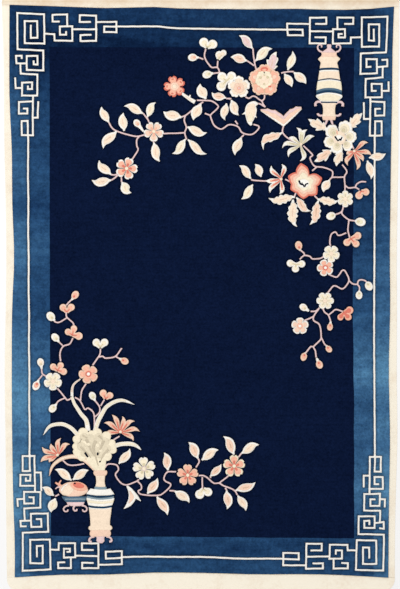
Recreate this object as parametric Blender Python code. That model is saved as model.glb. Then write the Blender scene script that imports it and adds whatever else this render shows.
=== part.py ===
"""Chinese pile rug of 6 by 9 feet, lying flat: a knotted wool rug and the cotton web sewn round its four edges.

Metres, +Z up. The rug lies on Z = 0 with its middle on the origin and its length along Y.
"""

from collections import namedtuple

import bmesh
import bpy
import numpy as np

MM = 0.001

HALF_LENGTH = 1459.0
CORNER_RADIUS = 60.0
PILE_TOP = 12.0
PILE_WALL = 6.5
WEB_THICKNESS = 2.0
SEAM_GAP = 0.3
PILE_SWELL = 0.5
SWELL_ACROSS = 610.0
SWELL_ALONG = 840.0
COLUMNS = 16
ROWS = 26
ARC_STEPS = 7

# The rounded shoulder of the pile: how far in from its edge, and how high there.
Shoulder = namedtuple("Shoulder", "inset height")
SHOULDER = [
    Shoulder(0.0, PILE_WALL),
    Shoulder(1.2, 9.0),
    Shoulder(3.5, 11.0),
    Shoulder(8.0, PILE_TOP),
]

# Millimetres from the middle, at places along the length: the outer edges of the web and the edges of the pile.
Side = namedtuple("Side", "along web_left pile_left pile_right web_right")
SIDES = [
    Side(-1387, -938, -900, 910, 942),
    Side(-1256, -940, -899, 911, 942),
    Side(-1014, -942, -907, 913, 946),
    Side(-724, -945, -912, 918, 954),
    Side(-385, -949, -914, 912, 951),
    Side(-46, -943, -911, 919, 952),
    Side(123, -941, -903, 917, 951),
    Side(438, -944, -912, 920, 955),
    Side(680, -950, -914, 923, 959),
    Side(922, -952, -925, 928, 959),
    Side(1164, -955, -926, 930, 961),
    Side(1391, -963, -925, 938, 963),
]

# The same across the width: the pile's edge at the lower end and at the upper end.
End = namedtuple("End", "across lower upper")
ENDS = [
    End(-925, -1391, 1384),
    End(-680, -1377, 1376),
    End(-438, -1375, 1368),
    End(-220, -1366, 1373),
    End(-99, -1366, 1366),
    End(94, -1370, 1364),
    End(288, -1375, 1362),
    End(409, -1374, 1365),
    End(627, -1376, 1360),
    End(772, -1383, 1361),
    End(937, -1393, 1375),
]


def smooth_curve(rows, place, value):
    """A function that reads one column of a table, rounded smoothly from row to row."""
    places = np.array([getattr(row, place) for row in rows], float)
    values = np.array([getattr(row, value) for row in rows], float)
    slopes = np.gradient(values, places)

    def read(at):
        at = float(np.clip(at, places[0], places[-1]))
        k = min(max(int(np.searchsorted(places, at)) - 1, 0), len(places) - 2)
        step = places[k + 1] - places[k]
        t = (at - places[k]) / step
        start = (1 + 2 * t) * (1 - t) ** 2 * values[k] + t * (1 - t) ** 2 * step * slopes[k]
        end = t * t * (3 - 2 * t) * values[k + 1] + t * t * (t - 1) * step * slopes[k + 1]
        return start + end

    return read


web_left = smooth_curve(SIDES, "along", "web_left")
pile_left = smooth_curve(SIDES, "along", "pile_left")
pile_right = smooth_curve(SIDES, "along", "pile_right")
web_right = smooth_curve(SIDES, "along", "web_right")
pile_lower = smooth_curve(ENDS, "across", "lower")
pile_upper = smooth_curve(ENDS, "across", "upper")


def grid_lines(count):
    """(share of the way across, offset, height) of each grid line: the two shoulders, and even steps between."""
    near = [(0.0, step.inset, step.height) for step in SHOULDER]
    middle = [(k / count, 0.0, PILE_TOP) for k in range(1, count)]
    far = [(1.0, -step.inset, step.height) for step in reversed(SHOULDER)]
    return near + middle + far


def pile_point(column, row):
    """The place of one grid point on the pile's top, inside the uneven outline."""
    x = 0.0
    y = 0.0
    for _ in range(4):
        x = pile_left(y) + column[0] * (pile_right(y) - pile_left(y)) + column[1]
        y = pile_lower(x) + row[0] * (pile_upper(x) - pile_lower(x)) + row[1]
    z = min(column[2], row[2])
    if z == PILE_TOP:
        z += PILE_SWELL * np.sin(2 * np.pi * x / SWELL_ACROSS) * np.sin(2 * np.pi * y / SWELL_ALONG)
    return x, y, z


def pile_grid():
    columns = grid_lines(COLUMNS)
    rows = grid_lines(ROWS)
    return [[pile_point(column, row) for column in columns] for row in rows]


def outline_of(grid):
    """The grid's outer points, counterclockwise from the lower left corner."""
    lower = grid[0]
    upper = grid[-1]
    right = [row[-1] for row in grid[1:-1]]
    left = [row[0] for row in grid[1:-1]]
    return lower + right + upper[::-1] + left[::-1]


def plain_material(name, colour, roughness):
    material = bpy.data.materials.new(name)
    material.use_nodes = True
    surface = material.node_tree.nodes["Principled BSDF"]
    surface.inputs["Base Color"].default_value = (*colour, 1.0)
    surface.inputs["Roughness"].default_value = roughness
    surface.inputs["Metallic"].default_value = 0.0
    return material


def add_object(name, mesh_builder, material):
    mesh = bpy.data.meshes.new(name)
    bmesh.ops.recalc_face_normals(mesh_builder, faces=mesh_builder.faces)
    mesh_builder.to_mesh(mesh)
    mesh_builder.free()
    mesh.materials.append(material)
    made = bpy.data.objects.new(name, mesh)
    bpy.context.scene.collection.objects.link(made)
    return made


def add_point(builder, point):
    return builder.verts.new((point[0] * MM, point[1] * MM, point[2] * MM))


def make_pile_rug(grid, material):
    """The knotted rug as one solid: its pile surface, its walls and its flat underside."""
    builder = bmesh.new()
    verts = [[add_point(builder, point) for point in row] for row in grid]
    for low, high in zip(verts, verts[1:]):
        for k in range(len(low) - 1):
            builder.faces.new((low[k], low[k + 1], high[k + 1], high[k]))
    rim = outline_of(verts)
    floor = [add_point(builder, (point[0], point[1], 0.0)) for point in outline_of(grid)]
    for k in range(len(rim)):
        after = (k + 1) % len(rim)
        builder.faces.new((floor[k], floor[after], rim[after], rim[k]))
    builder.faces.new(floor[::-1])
    return add_object("pile_rug", builder, material)


def make_web(name, inner, outer, material):
    """A flat strip of web between two edges that have the same number of points."""
    builder = bmesh.new()
    sections = []
    for (xi, yi), (xo, yo) in zip(inner, outer):
        corners = [(xi, yi, 0.0), (xo, yo, 0.0), (xo, yo, WEB_THICKNESS), (xi, yi, WEB_THICKNESS)]
        sections.append([add_point(builder, corner) for corner in corners])
    for here, there in zip(sections, sections[1:]):
        for k in range(4):
            after = (k + 1) % 4
            builder.faces.new((here[k], here[after], there[after], there[k]))
    builder.faces.new(sections[0][::-1])
    builder.faces.new(sections[-1])
    return add_object(name, builder, material)


def make_side_web(name, edge, outer_curve, direction, material):
    """The strip along one long side: direction is -1 on the left and 1 on the right."""
    inner = [(x + direction * SEAM_GAP, y) for x, y, _ in edge]
    outer = [(outer_curve(y), y) for _, y, _ in edge]
    make_web(name, inner, outer, material)


def rounded_end(x, left, right):
    """How far out the web's end reaches at x, with its two outer corners rounded."""
    from_corner = min(x - left, right - x)
    if from_corner >= CORNER_RADIUS:
        return HALF_LENGTH
    short = CORNER_RADIUS - max(from_corner, 0.0)
    return HALF_LENGTH - CORNER_RADIUS + np.sqrt(CORNER_RADIUS**2 - short**2)


def make_end_web(name, edge, direction, material):
    """The strip across one end: direction is -1 at the lower end and 1 at the upper end."""
    left = web_left(edge[0][1])
    right = web_right(edge[-1][1])
    quarter = [np.pi / 2 * k / ARC_STEPS for k in range(ARC_STEPS + 1)]
    arc = [CORNER_RADIUS * (1 - np.cos(angle)) for angle in quarter]
    places = {left + step for step in arc} | {right - step for step in arc}
    places |= {x for x, _, _ in edge}
    places = sorted(places)
    edge_x = [x for x, _, _ in edge]
    edge_y = [y for _, y, _ in edge]
    inner = [(x, float(np.interp(x, edge_x, edge_y)) + direction * SEAM_GAP) for x in places]
    outer = [(x, direction * rounded_end(x, left, right)) for x in places]
    make_web(name, inner, outer, material)


def main():
    for old in list(bpy.data.objects):
        bpy.data.objects.remove(old, do_unlink=True)
    wool = plain_material("navy_wool", (0.006, 0.012, 0.040), 0.95)
    cotton = plain_material("ivory_cotton", (0.90, 0.82, 0.66), 0.90)
    grid = pile_grid()
    make_pile_rug(grid, wool)
    make_side_web("side_web_left", [row[0] for row in grid], web_left, -1, cotton)
    make_side_web("side_web_right", [row[-1] for row in grid], web_right, 1, cotton)
    make_end_web("end_web_lower", grid[0], -1, cotton)
    make_end_web("end_web_upper", grid[-1], 1, cotton)


main()
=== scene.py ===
"""The knotted pile, cotton web, light and camera of a Chinese rug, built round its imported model.

The design is charted in squares of 4.84 mm, counted across and down from the chart's top left corner.
Each shape is one yarn, and a later shape is knotted over an earlier one.
"""

import math
from collections import namedtuple

import bpy
import numpy as np
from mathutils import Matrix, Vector
from mathutils.geometry import delaunay_2d_cdt
from mathutils.kdtree import KDTree


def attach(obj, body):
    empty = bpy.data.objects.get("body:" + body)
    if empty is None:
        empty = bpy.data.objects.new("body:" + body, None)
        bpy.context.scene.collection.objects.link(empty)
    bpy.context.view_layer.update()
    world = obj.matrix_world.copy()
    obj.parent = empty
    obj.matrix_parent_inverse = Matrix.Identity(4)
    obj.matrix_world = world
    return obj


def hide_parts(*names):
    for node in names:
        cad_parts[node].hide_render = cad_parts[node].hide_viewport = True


MM = 0.001

# The chart: the size of a square in millimetres, and the square that lies on the rug's middle.
SQUARE = 4.84
MIDDLE_ACROSS = 200.5
MIDDLE_DOWN = 290.5

# Points of the outline this far from the middle are on a long side.
SIDE_FROM = 150

# The pile in millimetres.
PILE_TOP = 12.0
PILE_WALL = 6.5
PILE_SWELL = 0.5
SWELL_ACROSS = 610.0
SWELL_ALONG = 840.0
BASE_TOP = 4.9
KNOT_BOTTOM = 5.0
CARVED_DEPTH = 1.8
COLOUR_JOIN_DEPTH = 0.45
CARVED_REACH = 2.6
SHADED_REACH = 8.0
OPEN_GRID = 13.0
OUTLINE_STEP = 9.0
SIDE_BOW = 0.05
LOOP_STEP = 4.6
TREE_STEP = 0.8
OUTER_TREE_STEP = 1.0
SAME_POINT = 1e-4

# How near the pile's extra points may come: beside a carved line, as a share of its reach, to one another,
# and in the open ground to a line and to the rug's edge.
OFFSET_CLEAR = 0.86
OFFSETS_APART = 1.9
GRID_CLEAR = 4.5
EDGE_CLEAR = 12.0

SHOULDER_INSETS = (0.0, 1.2, 3.5, 8.0)
SHOULDER_HEIGHTS = (PILE_WALL, 9.0, 11.0, PILE_TOP)

# Sizes in squares.
FRET_WIDTH = 1.9
GUARD_WIDTH = 1.9
STEM_WIDTH = 1.6
LINE_STEP = 0.9

# The border chart counts in finer steps: this many to a square.
FINE_STEPS = 7.84

# Yarns: the colour as dyed, in display numbers from 0 to 255.
Yarn = namedtuple("Yarn", "name red green blue")
YARNS = [
    Yarn("navy", 12, 23, 50),
    Yarn("blue", 40, 75, 115),
    Yarn("ivory", 252, 247, 238),
    Yarn("cream", 248, 235, 207),
    Yarn("sage", 239, 232, 203),
    Yarn("olive", 219, 206, 170),
    Yarn("stone", 206, 193, 168),
    Yarn("sand", 250, 228, 203),
    Yarn("peach", 247, 211, 187),
    Yarn("salmon", 247, 186, 160),
    Yarn("coral", 226, 126, 108),
    Yarn("rose", 236, 206, 204),
    Yarn("tan", 224, 188, 156),
    Yarn("mist", 138, 158, 168),
    Yarn("slate", 80, 108, 130),
    Yarn("teal", 34, 62, 88),
    Yarn("ink", 8, 16, 34),
    Yarn("bone", 230, 217, 190),
]
YARN_NUMBER = {yarn.name: number for number, yarn in enumerate(YARNS)}
GROUND = ("navy", "blue")

# The corners of the navy field.
FIELD = [(49.7, 47.3), (200, 47.6), (354, 47.8), (353.6, 200), (352.6, 290), (354, 400), (354.2, 538.4),
         (200, 537), (51, 535.9), (50.2, 400), (49.7, 200)]

# The guard lines, between the corner frets.
GUARD_LINES = [
    [(116.3, 26.5), (150, 26.3), (160, 26.6), (175, 28.1), (200, 28.6), (240, 29.2), (289, 29.6)],
    [(374.8, 134), (374.6, 230), (374.2, 330), (374.6, 400), (375, 458)],
    [(28, 134), (28.3, 230), (29, 330), (29.6, 457)],
    [(121, 557.2), (160, 556.8), (200, 557.2), (245, 558.6), (284, 559)],
]

# The four corner frets in fine steps: where each line turns, counted from the corner's first square.
Fret = namedtuple("Fret", "across down lines")
FRETS = [
    Fret(0, 0, [
        [(240, 200), (240, 297), (292, 297), (290, 165), (193, 165), (193, 338), (347, 343), (345, 110),
         (135, 103), (137, 385), (340, 397), (340, 550), (210, 548), (210, 438), (295, 438), (295, 505),
         (265, 503), (265, 480)],
        [(170, 455), (170, 437), (125, 437), (128, 497), (205, 497)],
        [(160, 497), (162, 578), (292, 583), (290, 750), (172, 748), (172, 648), (250, 645), (250, 698),
         (217, 698), (217, 678)],
        [(118, 615), (124, 690), (172, 690)],
        [(258, 750), (258, 1060), (170, 1060), (170, 948), (218, 948), (218, 1062)],
        [(258, 795), (148, 798), (148, 890), (215, 890), (215, 850), (188, 850)],
        [(299, 802), (297, 922), (262, 922)],
        [(350, 265), (425, 268), (428, 318), (568, 318), (568, 205), (470, 207), (470, 272), (520, 270),
         (520, 250)],
        [(528, 207), (526, 113), (412, 115), (412, 168), (462, 168)],
        [(575, 228), (755, 230)],
        [(705, 172), (625, 172), (625, 120), (753, 122), (753, 320), (632, 320), (632, 274), (710, 272)],
        [(755, 172), (912, 170), (912, 253), (815, 251), (815, 208), (912, 208)],
    ]),
    Fret(200, 0, [
        [(1362, 232), (1365, 320), (1325, 318), (1325, 190), (1405, 190), (1405, 365), (1270, 368),
         (1270, 135), (1470, 130), (1460, 410), (1260, 420), (1258, 578), (1388, 573), (1388, 463),
         (1305, 463), (1305, 524), (1338, 522)],
        [(1432, 470), (1470, 467), (1470, 520), (1395, 524)],
        [(1434, 524), (1432, 606), (1300, 618), (1298, 765), (1425, 763), (1425, 657), (1347, 657),
         (1347, 713), (1378, 713)],
        [(1478, 645), (1478, 712), (1430, 712)],
        [(1337, 765), (1332, 1062), (1425, 1062), (1425, 950), (1375, 950), (1372, 1065)],
        [(1340, 797), (1447, 800), (1447, 905), (1375, 907), (1375, 855), (1412, 853)],
        [(1285, 810), (1285, 932), (1330, 932)],
        [(1268, 292), (1185, 294), (1183, 338), (1042, 340), (1043, 228), (1138, 228), (1138, 292),
         (1087, 292), (1087, 265), (1112, 264)],
        [(1078, 228), (1078, 138), (1203, 138), (1203, 187), (1138, 187)],
        [(860, 245), (1040, 245)],
        [(910, 187), (990, 187), (990, 138), (862, 138), (860, 340), (985, 340), (985, 292), (905, 292)],
        [(860, 187), (684, 185), (690, 275), (807, 278), (805, 232), (690, 232)],
    ]),
    Fret(0, 430, [
        [(288, 990), (287, 910), (333, 908), (335, 1045), (237, 1045), (235, 862), (390, 860),
         (397, 1093), (178, 1105), (178, 806), (378, 800), (375, 655), (243, 657), (246, 762),
         (326, 760), (323, 700), (290, 700)],
        [(202, 755), (163, 756), (160, 712), (243, 712)],
        [(195, 712), (190, 616), (317, 608), (315, 486), (187, 486), (190, 578), (264, 576),
         (262, 528), (230, 527)],
        [(140, 597), (136, 544), (190, 542)],
        [(273, 482), (271, 205), (178, 205), (178, 322), (235, 322), (233, 200)],
        [(271, 438), (158, 438), (160, 352), (238, 352), (236, 398), (202, 400), (202, 380)],
        [(322, 470), (320, 335), (275, 335)],
        [(400, 938), (460, 940), (462, 888), (590, 888), (590, 1000), (502, 1002), (502, 932),
         (550, 932), (550, 956), (530, 957)],
        [(555, 1002), (555, 1084), (455, 1084), (455, 1040), (503, 1038)],
        [(590, 988), (770, 990)],
        [(728, 942), (643, 942), (643, 890), (770, 890), (772, 1083), (643, 1085), (643, 1043), (728, 1043)],
        [(775, 1057), (955, 1052), (955, 950), (828, 954), (830, 1008), (942, 1003)],
    ]),
    Fret(200, 430, [
        [(1328, 1000), (1327, 922), (1280, 922), (1278, 1050), (1383, 1050), (1382, 868), (1232, 865),
         (1222, 1097), (1438, 1103), (1442, 822), (1243, 818), (1243, 678), (1370, 678), (1370, 770),
         (1288, 770), (1288, 715), (1328, 713), (1328, 740)],
        [(1412, 772), (1442, 775), (1442, 722), (1372, 732)],
        [(1412, 725), (1415, 634), (1287, 632), (1290, 502), (1412, 500), (1408, 595), (1337, 595),
         (1337, 543), (1370, 543)],
        [(1450, 600), (1450, 545), (1412, 543)],
        [(1330, 500), (1332, 212), (1420, 212), (1418, 328), (1370, 328), (1374, 205)],
        [(1330, 462), (1433, 462), (1433, 370), (1368, 370), (1370, 425), (1397, 425)],
        [(1285, 443), (1285, 360), (1328, 360)],
        [(1225, 945), (1160, 944), (1158, 902), (1018, 900), (1015, 1012), (1113, 1010), (1115, 947),
         (1065, 945), (1065, 972)],
        [(1048, 1012), (1048, 1088), (1158, 1086), (1160, 1046), (1115, 1044)],
        [(835, 993), (1015, 993)],
        [(873, 945), (953, 945), (953, 893), (834, 893), (832, 1088), (966, 1086), (965, 1047), (890, 1046)],
        [(832, 1060), (652, 1062), (655, 965), (775, 965), (775, 1015), (660, 1012)],
    ]),
]

# Leaves: where each leaves its stem, its tip, its width, how far the tip turns, with right as positive, and
# the yarn of its heart.
Leaf = namedtuple("Leaf", "across down tip_across tip_down width turn heart", defaults=["sand"])
LEAVES = [
    Leaf(109, 122.5, 101.8, 106.6, 8, 0.4),
    Leaf(124, 131, 123.5, 112.6, 9, 0.3),
    Leaf(142.9, 113.3, 124.1, 106.3, 8.5, -0.5),
    Leaf(147, 117, 155.7, 102.3, 8, 0.5, "cream"),
    Leaf(181.8, 117.4, 163.3, 111.4, 10, 0.4),
    Leaf(116.5, 131, 103.1, 148.7, 9, -0.6),
    Leaf(252.7, 48.5, 239, 35.7, 8.5, -0.4, "rose"),
    Leaf(247.3, 60.6, 230.7, 57.1, 9, -0.2, "peach"),
    Leaf(255.8, 60.4, 272.3, 48.6, 9.4, 0.6, "cream"),
    Leaf(205.8, 98.9, 200.4, 83.8, 10.5, 0.5),
    Leaf(226.2, 98.2, 211.9, 92, 8, 0.6, "peach"),
    Leaf(201, 103.6, 193.4, 120.2, 10, -0.3),
    Leaf(187.3, 126.9, 207.1, 132.6, 8.8, -0.6),
    Leaf(185.4, 139, 172, 153.7, 8.5, 0.6, "cream"),
    Leaf(187.6, 139.6, 206.8, 153.7, 8, -0.5),
    Leaf(226.5, 103.3, 225.3, 120.2, 8, -0.6),
    Leaf(231.3, 100.1, 239, 115.4, 9, -0.4),
    Leaf(241.2, 137.1, 235.2, 155.3, 9, -0.4),
    Leaf(287.8, 70.2, 292.5, 51, 8, -0.4, "cream"),
    Leaf(284.6, 73.7, 292, 87.1, 8, 0.3),
    Leaf(293.9, 72.1, 306, 83.9, 9, 0.3),
    Leaf(251.1, 178.7, 239.3, 165.6, 8, -0.4),
    Leaf(261.4, 176.8, 255, 164, 8, -0.4),
    Leaf(253.1, 184.4, 241, 199, 8, 0.4, "cream"),
    Leaf(369.1, 158, 385.7, 153.3, 8, -0.4),
    Leaf(367.5, 160.6, 370.9, 179.2, 8, 0.4),
    Leaf(329.7, 179.6, 323.7, 192.3, 8.5, -0.4),
    Leaf(118.8, 464.1, 129.8, 448.5, 8, -0.4),
    Leaf(168.1, 470.7, 164.1, 452.7, 9, -0.4, "peach"),
    Leaf(147.6, 494, 157.5, 478.1, 9, -0.3, "peach"),
    Leaf(174.4, 490.8, 189.4, 502.9, 9, 0.4),
    Leaf(156.9, 496.6, 167.4, 515.4, 9, 0.4, "peach"),
    Leaf(198.2, 458.6, 188.3, 442.3, 9.5, -0.4, "peach"),
    Leaf(201.4, 459.9, 218.6, 450, 9, 0.4),
    Leaf(210.3, 476.5, 221.1, 464, 7.5, -0.3, "peach"),
    Leaf(234.2, 454.8, 223.4, 436.3, 9.5, -0.5, "peach"),
    Leaf(241.5, 453.5, 259.1, 444.9, 9, 0.5),
    Leaf(235.5, 490.5, 255.3, 482.2, 8.5, -0.4, "peach"),
    Leaf(226.9, 490.5, 226.9, 509.3, 9, 0.4, "peach"),
    Leaf(237.7, 495.3, 246, 511, 8, 0.4),
    Leaf(71.9, 480.3, 54.7, 469.8, 8.5, -0.4),
    Leaf(72.8, 479.7, 88.8, 470.1, 8.5, 0.3),
    Leaf(54, 495.6, 41.9, 487.3, 7.5, -0.3),
    Leaf(55.3, 498.2, 51.2, 512.5, 9.5, -0.3, "cream"),
    Leaf(111.3, 174.8, 99.1, 160.2, 8.6, 0.6),
    Leaf(111.3, 180.3, 91.7, 179.8, 8.8, 0.6),
    Leaf(121.7, 182.1, 131.4, 192.8, 9.6, -0.7, "cream"),
    Leaf(153.9, 142.4, 159.9, 161.7, 9, -0.4),
]

# Leaves with a cut edge. Besides a leaf's columns: how many cuts a side has, how deep they are as a share of
# its half width, and whether they are teeth rather than scallops.
CutLeaf = namedtuple("CutLeaf", "across down tip_across tip_down width turn heart cuts depth toothed")
CUT_LEAVES = [
    CutLeaf(269.6, 73.5, 276.6, 51.4, 13, 0.2, "rose", 2.6, 0.42, True),
    CutLeaf(282.4, 132.4, 263.4, 149.8, 9.4, -1.1, "peach", 4, 0.26, False),
    CutLeaf(327.8, 129.8, 308.4, 119, 13, 0.1, "sand", 3, 0.44, True),
    CutLeaf(348.6, 128.6, 362.2, 113, 12.5, 0.1, "sand", 3, 0.42, True),
    CutLeaf(332.2, 149.6, 314.2, 161.6, 12, 0.1, "peach", 2.6, 0.42, True),
    CutLeaf(341.8, 150.2, 336.7, 166.2, 10.5, -0.3, "sand", 2.6, 0.36, True),
    CutLeaf(295.2, 196.8, 268.6, 198.2, 10, 0.5, "sand", 5, 0.32, False),
    CutLeaf(293, 199.4, 297, 227, 11.4, -0.5, "sand", 5, 0.32, False),
    CutLeaf(296.3, 197.4, 310.8, 210.8, 8.8, -0.7, "peach", 4, 0.2, True),
    CutLeaf(317.2, 199.2, 338.4, 200.6, 9, -0.4, "sand", 4, 0.3, False),
    CutLeaf(318.2, 200.4, 309.8, 224.8, 10.2, 0.5, "peach", 5, 0.3, False),
]

# Blossoms: middle, reach, number of petals, the way the first one points in degrees, whether dark gaps part
# them, and yarns.
Blossom = namedtuple("Blossom", "across down reach petals turn parted rim heart")
BLOSSOMS = [
    Blossom(153.8, 131.5, 10.2, 5, 90, True, "ivory", "peach"),
    Blossom(126.5, 168.4, 11.2, 5, 1, True, "ivory", "salmon"),
    Blossom(345.4, 199, 8.3, 6, 90, False, "ivory", "cream"),
    Blossom(331.2, 253.9, 8.6, 5, 90, False, "ivory", "cream"),
    Blossom(325.3, 267.8, 8.4, 5, -109, False, "ivory", "salmon"),
    Blossom(325.2, 300.8, 8.8, 6, 60, False, "ivory", "cream"),
    Blossom(300, 326, 8.6, 5, -90, False, "ivory", "peach"),
    Blossom(88.4, 374.1, 9.6, 5, -112, False, "peach", "salmon"),
    Blossom(52.9, 381.3, 9.2, 5, 90, False, "ivory", "cream"),
    Blossom(144, 468.6, 11.6, 5, -96, True, "ivory", "cream"),
    Blossom(187.7, 475.2, 10.9, 5, -90, True, "peach", "salmon"),
    Blossom(234.2, 466.3, 11.3, 5, -90, True, "cream", "salmon"),
]

# The yarn that shades each heart.
DEEPER = {"salmon": "coral", "coral": "coral", "peach": "salmon", "cream": "olive", "sand": "olive",
          "sage": "olive"}

# Buds: middle, radius, and the end of the neck that joins the stem.
Bud = namedtuple("Bud", "across down radius neck_across neck_down rim heart")
BUDS = [
    Bud(136.9, 123.2, 4, 143.6, 131.8, "ivory", "peach"),
    Bud(192.7, 57.4, 4.4, 198.8, 57.4, "ivory", "peach"),
    Bud(207.2, 74.6, 4.6, 213.6, 73.2, "ivory", "cream"),
    Bud(331, 215.9, 4.5, 335.4, 214.6, "ivory", "cream"),
    Bud(360.4, 222, 5, 354.8, 221, "ivory", "sage"),
    Bud(298.7, 245.4, 4.2, 300.3, 250.4, "peach", "salmon"),
    Bud(368.9, 286.2, 4.5, 366.6, 282.4, "ivory", "cream"),
    Bud(359, 295.2, 4, 359.2, 290.5, "ivory", "cream"),
    Bud(303.5, 307.2, 4, 309, 311, "ivory", "sand"),
    Bud(330, 327, 3.5, 330.6, 321.5, "peach", "salmon"),
    Bud(329, 349, 3.5, 326.6, 345.4, "peach", "salmon"),
    Bud(303.8, 357, 3.8, 305.4, 352.8, "peach", "salmon"),
    Bud(319.4, 364.6, 4, 316.6, 358, "peach", "salmon"),
    Bud(75, 294.9, 4.2, 71.4, 300, "peach", "salmon"),
    Bud(50.7, 316.3, 4.8, 54.8, 320.8, "ivory", "cream"),
    Bud(55.2, 337.6, 4.3, 59.2, 342.4, "ivory", "cream"),
    Bud(124.7, 361.2, 4, 119.2, 358.6, "peach", "salmon"),
    Bud(40.5, 362.4, 4, 41.6, 369, "ivory", "sand"),
    Bud(36.1, 385.7, 4.5, 38.4, 379.6, "ivory", "salmon"),
    Bud(52.6, 408.7, 4.2, 56.6, 403.8, "ivory", "cream"),
    Bud(92.5, 395.9, 4, 95.4, 401, "ivory", "sage"),
]

# Flowers seen from the side, as a few round lobes that meet in one place.
Spray = namedtuple("Spray", "across down rim heart lobes")
SPRAYS = [
    Spray(207.2, 47, "ivory", "cream", [(203.9, 42.2, 5.1), (212.8, 44, 4.9)]),
    Spray(218.2, 59.4, "ivory", "sand", [(219.4, 55, 4.4), (223.4, 52.8, 3.3)]),
    Spray(226.2, 81, "ivory", "cream", [(222.2, 76.8, 5.1), (221.4, 86.3, 5.2), (231.6, 76, 4.9)]),
    Spray(361.2, 191, "peach", "salmon", [(366, 191.8, 3.8), (359.2, 195.4, 4)]),
    Spray(350.8, 238.8, "peach", "salmon", [(357.6, 235.8, 4), (347, 242.4, 4), (356, 243.8, 3.8)]),
    Spray(296.2, 264.4, "ivory", "cream", [(290.5, 263.3, 3.9), (301.8, 263.8, 3.9), (295.6, 268.9, 3.9)]),
    Spray(344, 312.8, "salmon", "coral", [(349.8, 310.4, 4.2), (340.6, 317.4, 3.5), (348.4, 317, 3.8)]),
    Spray(66.8, 312.2, "peach", "salmon", [(63.1, 307.5, 3.9), (71.2, 307.4, 3.9)]),
    Spray(72.3, 334.9, "peach", "salmon", [(73.9, 328.8, 3.6), (68, 331.9, 3.6), (78.8, 336, 4.1)]),
    Spray(100.4, 347.6, "ivory", "cream", [(96.4, 342.6, 4.2), (104.6, 342.6, 4.2)]),
    Spray(57.8, 370.4, "peach", "salmon", [(53.2, 366.8, 3.7), (60.6, 365.6, 3.6), (63.8, 371.7, 3.7)]),
    Spray(105.8, 398.8, "peach", "salmon", [(103.2, 393.2, 3.9), (110, 395.6, 3.7)]),
    Spray(203.4, 489.2, "ivory", "cream", [(199.8, 494.5, 5.1), (208.2, 492.2, 4.7)]),
]

# Chrysanthemums: middle, petal width, yarns, and each petal's tip with how far it turns: right is positive.
Star = namedtuple("Star", "across down width rim heart tips")
STARS = [
    Star(301.1, 144.3, 4.8, "ivory", "sage", [
        (296.4, 127.5, -0.6), (307.5, 129.3, 0.6), (314.4, 136.3, 0.5), (288.6, 137.9, -0.4),
        (282.4, 148.1, -0.7), (288.6, 157.1, -0.6), (299.9, 161.3, 0.8)]),
    Star(354.5, 151, 4.9, "peach", "salmon", [
        (368.4, 142.4, 0.5), (371.6, 155.4, 0.4), (363.2, 161.6, 0.4), (356.5, 169.9, 0.5),
        (347.8, 165.4, -0.7), (346.6, 154.4, -0.3)]),
    Star(281.1, 179.2, 5, "ivory", "salmon", [
        (271.3, 165.4, 0.5), (281.6, 164, -0.6), (265.4, 180.6, 0.2), (270, 193, -0.5), (279.6, 194.2, 0.5)]),
    Star(120.3, 431.9, 5, "peach", "salmon", [
        (104, 423, -0.4), (112, 415, -0.3), (122.4, 416.4, -0.4), (134.8, 421.2, 0.5),
        (139.8, 431.8, 0.5), (133.5, 441.1, 0.5), (104.7, 434.6, -0.3)]),
    Star(57.5, 455.1, 5, "peach", "salmon", [
        (42, 447, 0.4), (50.8, 443.6, 0.3), (61.2, 438.2, 0.5), (69.9, 444.4, 0.6),
        (40.8, 462.4, -0.4), (49, 462.6, -0.3)]),
]

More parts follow.
